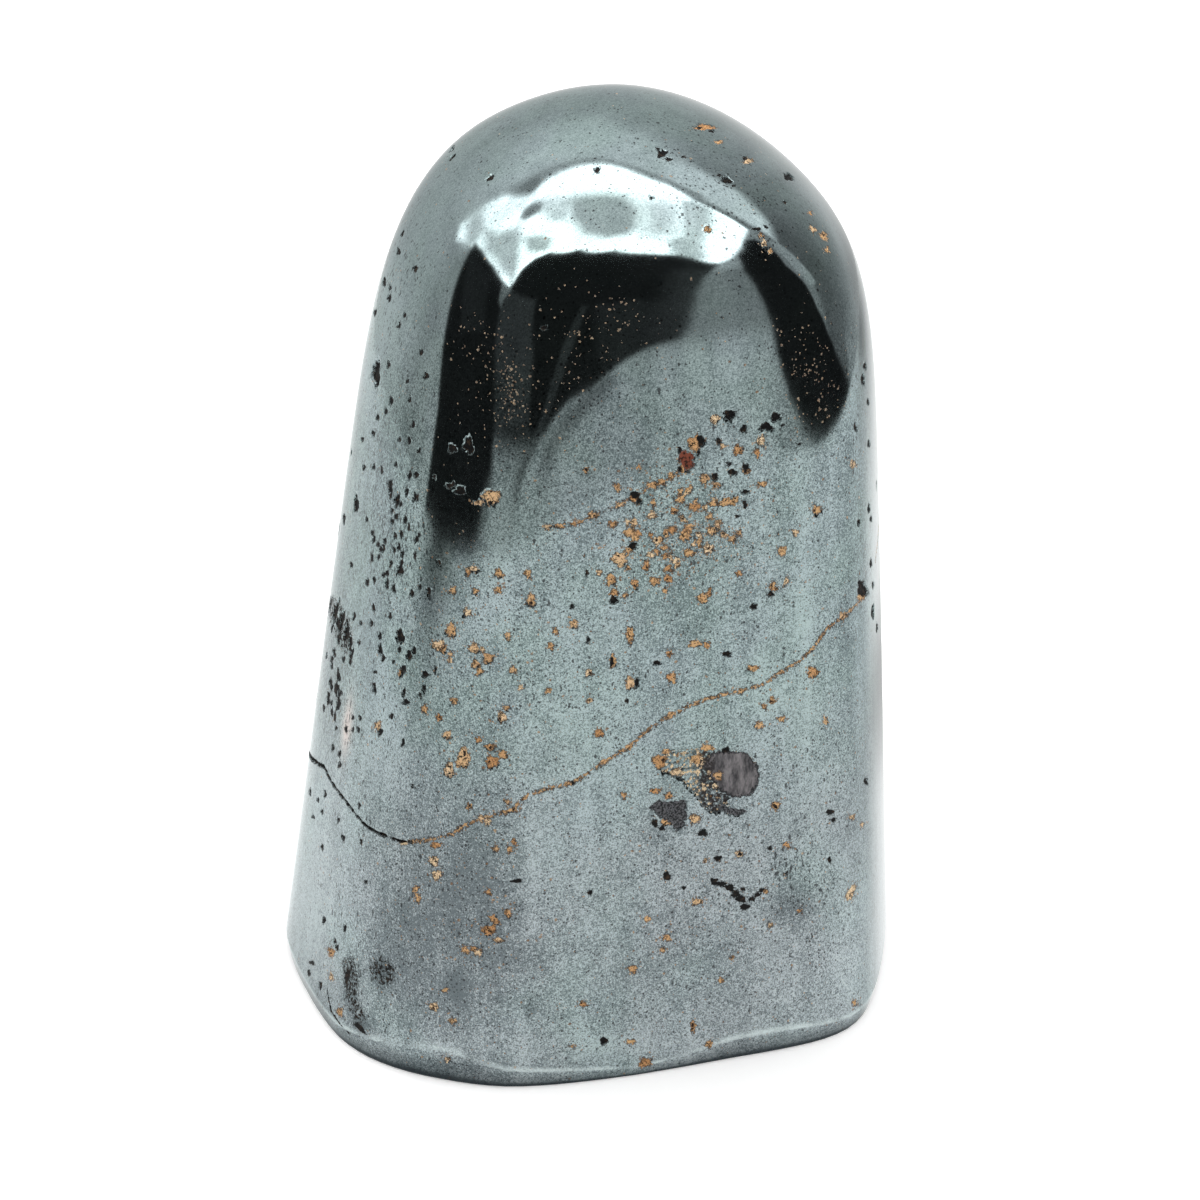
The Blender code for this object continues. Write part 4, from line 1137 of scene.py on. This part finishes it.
def line_depth(name, half_width):
    """How far each point lies inside a line of a half width, in millimetres, with a slow wander."""
    gap = np.min([line_gap(points, line) for line in LINES[name]], axis=0)
    gap = gap + LINE_WANDER * waves(points, LINE_WAVE)
    return np.maximum((half_width - gap) / MM, FAR_OUTSIDE)


patches = {name: patch_depth(name) for name in PATCHES}
vein = np.maximum(line_depth("vein", VEIN_HALF_WIDTH), line_depth("short", SHORT_HALF_WIDTH))
crack = np.maximum(line_depth("crack", along(CRACK_HALF_WIDTH, picture_x) * MM),
                   line_depth("foot crack", FOOT_CRACK_HALF_WIDTH))
TONE = np.where((vein > -VEIN_REACH) & (INSIDE["ochre"] < -VEIN_REACH), VEIN_TONE, TONE)
grains = waves(points, 0.55 * MM) * 0.5 + waves(points[:, [2, 0, 1]], 0.35 * MM) * 0.5
for name, depth in patches.items():
    rough = 1 if name == "smooth" else 0.75 + 0.5 * grains
    SINK = np.maximum(SINK, PATCH_DEPTH[name] * step(depth, 0.35) * rough)
SINK = np.maximum(SINK, CRACK_DEPTH * step(crack - 0.07, 0.16))
SINK = np.maximum(SINK, VEIN_DEPTH * step(vein, 0.2))
rough_inside = np.maximum.reduce([INSIDE["ochre"], INSIDE["red"], INSIDE["pit"] - 0.05])
SINK = SINK + GRAIN_DEPTH * grains * step(rough_inside - 0.1, 0.2)
SINK = np.maximum(SINK, 0) * step(bevel_share(points) - CLEAR_OF_BEVEL, 0.4)
print("points that sank:", int((SINK > 0).sum()), "of", len(points))

# %% Painted light and shade, by pixel, spread and amount, and a few dark smudges
# Mostly painted light and shade: the grain is lighter where reflections are brighter, darker where dimmer;
# the darkest spots near the foot are smudges.
SHADES = [((470, 900), (50, 95), -0.19), ((400, 930), (30, 70), -0.13), ((480, 985), (18, 35), -0.07),
          ((430, 1000), (30, 30), -0.07), ((410, 822), (18, 22), -0.1), ((420, 700), (10, 90), -0.09),
          ((312, 1005), (14, 20), -0.14), ((450, 1067), (50, 8), -0.12), ((392, 430), (12, 40), -0.1),
          ((386, 300), (16, 60), 0.1), ((372, 370), (10, 40), 0.1), ((382, 745), (12, 40), 0.1),
          ((486, 610), (7, 30), 0.12), ((610, 1045), (70, 14), 0.12), ((560, 830), (22, 50), 0.06),
          ((600, 760), (14, 40), 0.07), ((806, 740), (8, 50), 0.12),
          ((497, 730), (13, 70), -0.08), ((712, 545), (25, 20), -0.07), ((605, 535), (18, 18), -0.06),
          ((700, 620), (60, 40), -0.04), ((640, 430), (80, 40), -0.05), ((650, 840), (20, 20), -0.07),
          ((690, 965), (50, 50), -0.07), ((790, 905), (22, 18), -0.18), ((815, 930), (10, 30), -0.06),
          ((845, 645), (10, 50), -0.1), ((392, 490), (14, 60), -0.06), ((720, 122), (26, 12), -0.1),
          ((752, 146), (22, 14), -0.12), ((786, 176), (20, 14), -0.12),
          ((502, 575), (11, 55), 0.15), ((566, 610), (12, 40), 0.07), ((556, 700), (12, 90), 0.05),
          ((806, 610), (9, 80), 0.18), ((768, 700), (18, 80), 0.07), ((815, 800), (18, 100), 0.06),
          ((840, 965), (12, 40), 0.08), ((610, 725), (24, 30), 0.05), ((380, 700), (28, 60), 0.07),
          ((315, 905), (24, 70), 0.1), ((385, 310), (14, 60), 0.08), ((530, 900), (7, 40), 0.07),
          ((381, 972), (8, 11), -0.32), ((350, 985), (6, 26), -0.26), ((457, 988), (9, 13), -0.26),
          ((533, 958), (16, 9), -0.16), ((532, 1004), (9, 9), -0.14), ((363, 1025), (10, 8), -0.3)]

SMEAR_MIDDLE, SMEAR_SPREAD = (347, 726), (4.5, 26)


def shade(points):
    """Bell curves in the picture: painted light and shade on the grain, and a few dark smudges at the
    foot.
    """
    x, y, square = pixel_of(points)
    total = np.zeros(len(points))
    for middle, spread, amount in SHADES:
        far = ((x - middle[0]) / spread[0]) ** 2 + ((y - middle[1]) / spread[1]) ** 2
        total += amount * np.exp(-far) * (square > 0)
    return total


def pale_smear(points):
    """A leaning bell curve: how much of a rosy film lies on the left side, below the scar."""
    x, y, square = pixel_of(points)
    across = (x - SMEAR_MIDDLE[0] + 0.1 * (y - SMEAR_MIDDLE[1])) / SMEAR_SPREAD[0]
    return np.exp(-(across**2) - ((y - SMEAR_MIDDLE[1]) / SMEAR_SPREAD[1]) ** 2) * (square > 0)


# %% [markdown]
# ## The finished skin and its normals
#
# The points go in along the skin's own normals. Where nothing sank, the formula's exact
# normal is given to the mesh, so the reflections stay as smooth as on the wheel. Where
# something sank, and on the foot, the mesh's own normal takes over.

# %% The stone itself
PALE_CRUMBS_EDGE, PALE_CRUMBS_SOFTNESS = 700, 40
PLUM_HEIGHT, PLUM_SOFTNESS = 30, 24
CROWN_HEIGHT, CROWN_SOFTNESS, CROWN_FADE = 72, 14, 0.6
UNSUNK, UNSUNK_SOFTNESS = 0.004, 0.006
EXACT_FROM, EXACT_SOFTNESS = 1.2, 0.14
heights = points[:, 2] / MM
points = points - SINK[:, None] * skin_normals(points)
black = np.maximum.reduce([INSIDE["pit"], INSIDE["star"], crack])
stone = object_of(
    "polished_stone", points, faces, black=black, ochre=INSIDE["ochre"], red=INSIDE["red"], tone=TONE,
    vein=vein, smooth_patch=patches["smooth"], crumbly=patches["crumbly"],
    slate=np.maximum(patches["lower"], patches["tail"]),
    scab=np.max([patches[name] for name in SCABS], axis=0), pale_smear=pale_smear(skin_points),
    pit_dust=dust(skin_points, "pit"), earth_dust=dust(skin_points, "ochre"),
    foot=np.minimum(bevel_share(skin_points), 2), low=step(PLUM_HEIGHT - heights, PLUM_SOFTNESS),
    shade=shade(skin_points), pale_crumbs=step(PALE_CRUMBS_EDGE - picture_x, PALE_CRUMBS_SOFTNESS),
    contrast=1 - CROWN_FADE * step(heights - CROWN_HEIGHT, CROWN_SOFTNESS))
own = np.empty(len(points) * 3, np.float32)
stone.data.vertices.foreach_get("normal", own)
own = own.reshape(-1, 3).astype(float)
exact = 1 - step(SINK / MM - UNSUNK, UNSUNK_SOFTNESS)
exact = exact * step(bevel_share(skin_points) - EXACT_FROM, EXACT_SOFTNESS)
normals = mixed(own, skin_normals(skin_points), exact[:, None])
normals /= np.linalg.norm(normals, axis=1, keepdims=True)
stone.data.normals_split_custom_set_from_vertices(normals.tolist())
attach(stone, "root")
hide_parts("hematite_stone")
print("stone:", len(faces), "triangles, box in mm:", np.ptp(points, axis=0) / MM)

# %% [markdown]
# ## The polished hematite
#
# Under the polish the ore is a felt of tiny plates, and each shows a little lighter or
# darker: a salt-and-pepper grain. It is a metal to the eye, so the colour sits in the
# reflection, and only the earthy parts are matt. The attributes say where those are, and a
# fine noise makes their rims crumble. Painted light and shade sits in the colour too: soft
# spots for brighter and dimmer reflections, a painted shade and a painted highlight on the
# foot's bevel, and a painted shade in the pits.

# %% Colours and the material
TEAL_DARK, TEAL_LIGHT = (0.104, 0.144, 0.141, 1), (0.362, 0.452, 0.444, 1)
BLUE_DARK, BLUE_LIGHT = (0.108, 0.141, 0.148, 1), (0.370, 0.446, 0.456, 1)
EDGE_TINT = (0.75, 0.78, 0.78, 1)
PIT_BLACK, PIT_BROWN = (0.008, 0.008, 0.008, 1), (0.045, 0.028, 0.018, 1)
PLUM_DARK, PLUM_LIGHT = (0.116, 0.139, 0.148, 1), (0.388, 0.436, 0.448, 1)
OCHRE, ORANGE, CREAM = (0.72, 0.45, 0.22, 1), (0.62, 0.33, 0.14, 1), (0.91, 0.71, 0.46, 1)
OCHRE_DUST = (0.47, 0.31, 0.17, 1)
RUST, RIND = (0.19, 0.10, 0.05, 1), (0.028, 0.018, 0.014, 1)
SLATE, SLATE_PALE = (0.016, 0.017, 0.019, 1), (0.150, 0.153, 0.162, 1)
ROSY, RED = (0.70, 0.58, 0.53, 1), (0.26, 0.075, 0.045, 1)
# The foot's dark colour is a painted shade under the bevel, and its pale one a painted highlight along the
# bevel's top.
PEPPER, FOOT_SHADE = (0.03, 0.032, 0.034, 1), (0.02, 0.026, 0.03, 1)
EDGE_HIGHLIGHT, FLAKE = (0.56, 0.64, 0.64, 1), (0.07, 0.06, 0.06, 1)
PATCH_DARK, PATCH_LIGHT = (0.034, 0.033, 0.036, 1), (0.250, 0.234, 0.240, 1)
PATCH_RIM = (0.012, 0.012, 0.014, 1)
POLISH, MATT, SHINE = 0.07, 0.85, 0.25
BUMP_HEIGHT = 0.05 * MM


def hematite():
    """The stone's material: metal grain, then specks, patches, ochre and black over it."""
    s = Shader("polished hematite")
    place = s.add("ShaderNodeTexCoord", 3)
    cloud = s.noise(place, 2.6 * MM, 2.0, 0.6)
    lengthened = s.add("ShaderNodeMapping", 0, None, Vector=place, Scale=(1, 1, 0.10))
    ragged = s.math("SUBTRACT", s.noise(place, 0.26 * MM, 3.0, 0.75), 0.5)

    def part(value, amount):
        """How far a noise is from its middle, by an amount."""
        return s.times(s.math("SUBTRACT", value, 0.5), amount)

    def depth(name, wander):
        """A mark's depth in millimetres, with a rim that wanders."""
        return s.math("MULTIPLY_ADD", ragged, wander, s.attribute(name))

    def inside(name, wander=0.6, softness=0.04):
        """How surely a point is inside a mark."""
        return s.ramp(depth(name, wander), -softness, softness)

    def specks(size, share, density, where=place):
        """Uneven dots in cells of one size: a cell has one where its random value is low."""
        cell = s.add("ShaderNodeTexVoronoi", 1, None, Vector=where, Scale=1 / size)
        split = s.add("ShaderNodeSeparateColor", 0, None, Color=cell)
        radius = s.math("MULTIPLY_ADD", split.node.outputs[1], share * 0.7, share * 0.3)
        uneven = s.math("MULTIPLY_ADD", ragged, 1.3, cell.node.outputs["Distance"])
        dot = s.ramp(s.math("SUBTRACT", radius, uneven), -0.06, 0.06)
        return s.times(dot, s.math("LESS_THAN", split, density))

    # the polished grain, lightened and darkened by the painted shade, bluer in places and plum near the
    # foot
    grain = s.plus(part(s.noise(place, 0.14 * MM, 1.0, 0.6), 0.95),
                   part(s.noise(place, 0.30 * MM, 1.0, 0.6), 0.45),
                   part(s.noise(place, 1.1 * MM, 1.0, 0.5), 0.12), part(cloud, 0.20),
                   part(s.noise(lengthened, 2.2 * MM, 2.0), 0.24))
    level = s.math("MULTIPLY_ADD", grain, s.attribute("contrast"), s.attribute("shade"))
    level = s.ramp(level, -0.24, 0.24)
    hue = s.ramp(s.noise(place, 9 * MM, 2.0, 0.6), 0.35, 0.65)
    colour = s.mix(level, s.mix(hue, TEAL_DARK, BLUE_DARK), s.mix(hue, TEAL_LIGHT, BLUE_LIGHT))
    plum = s.times(s.attribute("low"), s.ramp(s.noise(place, 14 * MM), 0.3, 0.6, 0.3, 1.0))
    colour = s.mix(plum, colour, s.mix(level, PLUM_DARK, PLUM_LIGHT))
    colour = s.mix(s.times(s.attribute("pale_smear"), 0.8), colour, ROSY)

    # dark pepper and rusty freckles, thicker where the fields of marks are and where the painted shade
    # darkens
    near_earth = s.ramp(s.attribute("ochre"), -0.9, 0.2, 0, 0.35)
    earth_dust = s.attribute("earth_dust")
    upright = s.add("ShaderNodeMapping", 0, None, Vector=place, Scale=(1, 1, 0.45))
    dusty = s.times(s.attribute("pit_dust"), 0.36)
    darker = s.most(s.times(s.attribute("shade"), -1.8), 0.0)
    mottled = s.ramp(s.noise(place, 3 * MM, 2.0, 0.7), 0.40, 0.72, 0.06, 0.45)
    pepper_share = s.plus(mottled, darker, s.times(earth_dust, 0.25))
    pepper_share = s.times(pepper_share, s.attribute("contrast"))
    pepper = s.most(specks(0.34 * MM, 0.40, s.times(pepper_share, 0.6)),
                    specks(0.21 * MM, 0.42, pepper_share),
                    specks(0.40 * MM, 0.40, dusty, upright),
                    specks(0.27 * MM, 0.38, s.times(dusty, 0.8), upright))
    earthy = s.ramp(s.noise(place, 2.4 * MM, 2.0, 0.7), 0.35, 0.65, 0.4, 1.6)
    earthy = s.times(earthy, s.plus(near_earth, s.times(earth_dust, 0.55), 0.03), s.attribute("contrast"))
    freckles = s.most(specks(0.38 * MM, 0.42, s.times(earthy, 0.45)),
                      specks(0.22 * MM, 0.44, s.times(earthy, 0.6)))
    freckle_colour = s.mix(s.ramp(s.noise(place, 0.3 * MM), 0.42, 0.62), RUST, OCHRE_DUST)
    colour = s.mix(s.times(pepper, 0.85), colour, PEPPER)
    colour = s.mix(s.times(freckles, 0.75), colour, freckle_colour)

    # the foot: a painted shade, darker towards the bottom of the bevel, and a painted highlight, a pale
    # line along its top
    foot = s.attribute("foot")
    below = s.most(s.ramp(foot, 0.08, 0.55, 0.95, 0.0), s.ramp(foot, 0.3, 1.0, 0.5, 0.0))
    colour = s.mix(below, colour, FOOT_SHADE)
    edge_highlight = s.times(s.ramp(foot, 0.85, 1.0), s.ramp(foot, 1.3, 1.02),
                   s.ramp(s.noise(place, 5 * MM, 2.0), 0.38, 0.62, 0.12, 0.65))
    colour = s.mix(edge_highlight, colour, EDGE_HIGHLIGHT)

    # the smooth patch, and the flakes and pale crumbs of the one beside it
    smooth = inside("smooth_patch")
    slanting = s.add("ShaderNodeMapping", 0, None, Vector=place, Rotation=(0.5, 0.3, 0), Scale=(1, 1, 0.4))
    smooth_tone = s.ramp(s.noise(slanting, 0.7 * MM, 3.0, 0.7), 0.3, 0.75)
    rim = s.ramp(depth("smooth_patch", 1.0), 0.05, 0.35)
    smooth_colour = s.mix(rim, PATCH_RIM, s.mix(smooth_tone, PATCH_DARK, PATCH_LIGHT))
    colour = s.mix(smooth, colour, smooth_colour)
    crumbly = inside("crumbly", 1.4)
    pale = s.attribute("pale_crumbs")
    flaky = s.ramp(s.noise(place, 0.35 * MM, 3.0, 0.7), 0.40, 0.52)
    flaky = s.times(flaky, crumbly, s.ramp(pale, 1.0, 0.3))
    colour = s.mix(flaky, colour, s.mix(s.noise(place, 0.2 * MM), PIT_BLACK, FLAKE))
    crumb_share = s.ramp(pale, 0.0, 1.0, 0.28, 0.75)
    crumbs = s.most(specks(0.62 * MM, 0.58, crumb_share), specks(0.33 * MM, 0.50, crumb_share))
    crumbs = s.times(crumbs, crumbly)
    crumb_colour = s.mix(s.ramp(s.noise(place, 0.3 * MM, 2.0, 0.7), 0.40, 0.50), RUST, CREAM)
    colour = s.mix(crumbs, colour, crumb_colour)
    crumbly = s.most(flaky, crumbs)

    # ochre with its dark rind, its rust and its holes, then the red grain
    tone = s.attribute("tone")
    ochre_depth = s.most(depth("ochre", 1.2), depth("vein", 1.1))
    patchy = s.noise(place, 0.42 * MM, 2.0, 0.7)
    rind = s.ramp(s.most(ochre_depth, depth("red", 1.2)), -0.15, -0.06)
    rind = s.times(rind, s.ramp(patchy, 0.44, 0.54))
    colour = s.mix(s.times(rind, 0.92), colour, RIND)
    ochre = s.ramp(ochre_depth, -0.02, 0.04)
    earth = s.mix(s.ramp(tone, 0.0, 0.4), ORANGE, OCHRE)
    earth = s.mix(s.ramp(tone, 0.6, 1.0), earth, CREAM)
    lumps = s.noise(place, 0.19 * MM, 2.0, 0.7)
    earth = s.mix(s.ramp(lumps, 0.50, 0.60, 0.0, 0.9), earth, RUST)
    earth = s.mix(s.ramp(ochre_depth, 0.11, 0.01, 0.0, 0.85), earth, RUST)
    hole = s.times(s.ramp(ochre_depth, 0.05, 0.12), s.ramp(patchy, 0.55, 0.61))
    earth = s.mix(hole, earth, RIND)
    colour = s.mix(ochre, colour, earth)
    red = inside("red", 1.2)
    colour = s.mix(red, colour, s.mix(s.ramp(patchy, 0.5, 0.62), RED, RIND))

    # pits, stars, cracks, slate and scabs
    black = inside("black", 0.7)
    # the pits are near black, partly dark dirt and partly a painted shade of the hollow; the stars' black
    # is their own
    pit_colour = s.mix(s.ramp(patchy, 0.52, 0.7), PIT_BLACK, PIT_BROWN)
    colour = s.mix(black, colour, pit_colour)
    slate = inside("slate", 0.7)
    colour = s.mix(slate, colour, s.mix(s.ramp(lumps, 0.4, 0.62), SLATE, SLATE_PALE))
    scab = s.ramp(s.noise(place, 0.36 * MM, 3.0, 0.75), 0.47, 0.54)
    scab = s.times(inside("scab", 1.6, 0.1), scab)
    colour = s.mix(scab, colour, s.mix(s.ramp(lumps, 0.45, 0.65), PIT_BLACK, PIT_BROWN))
    black = s.most(black, slate, scab)

    # what is earth or hole is matt, and only clean ore is metal
    matt = s.most(ochre, red, black, crumbly)
    dull = s.most(matt, freckles, s.times(smooth, 0.9), rind)
    roughness = s.add("ShaderNodeMapRange", 0, None, Value=matt,
                      To_Min=s.plus(POLISH, part(cloud, 0.03)), To_Max=MATT)
    bump = s.add("ShaderNodeBump", 0, None, Distance=BUMP_HEIGHT,
                 Height=s.times(s.noise(place, 0.18 * MM, 3.0, 0.7), matt))
    return s.surface_with(
        Base_Color=colour, Metallic=s.math("SUBTRACT", 1.0, dull), Roughness=roughness,
        Specular_IOR_Level=SHINE, Specular_Tint=EDGE_TINT, Normal=bump)


stone.data.materials.append(hematite())
print("nodes of the material:", len(stone.data.materials[0].node_tree.nodes))
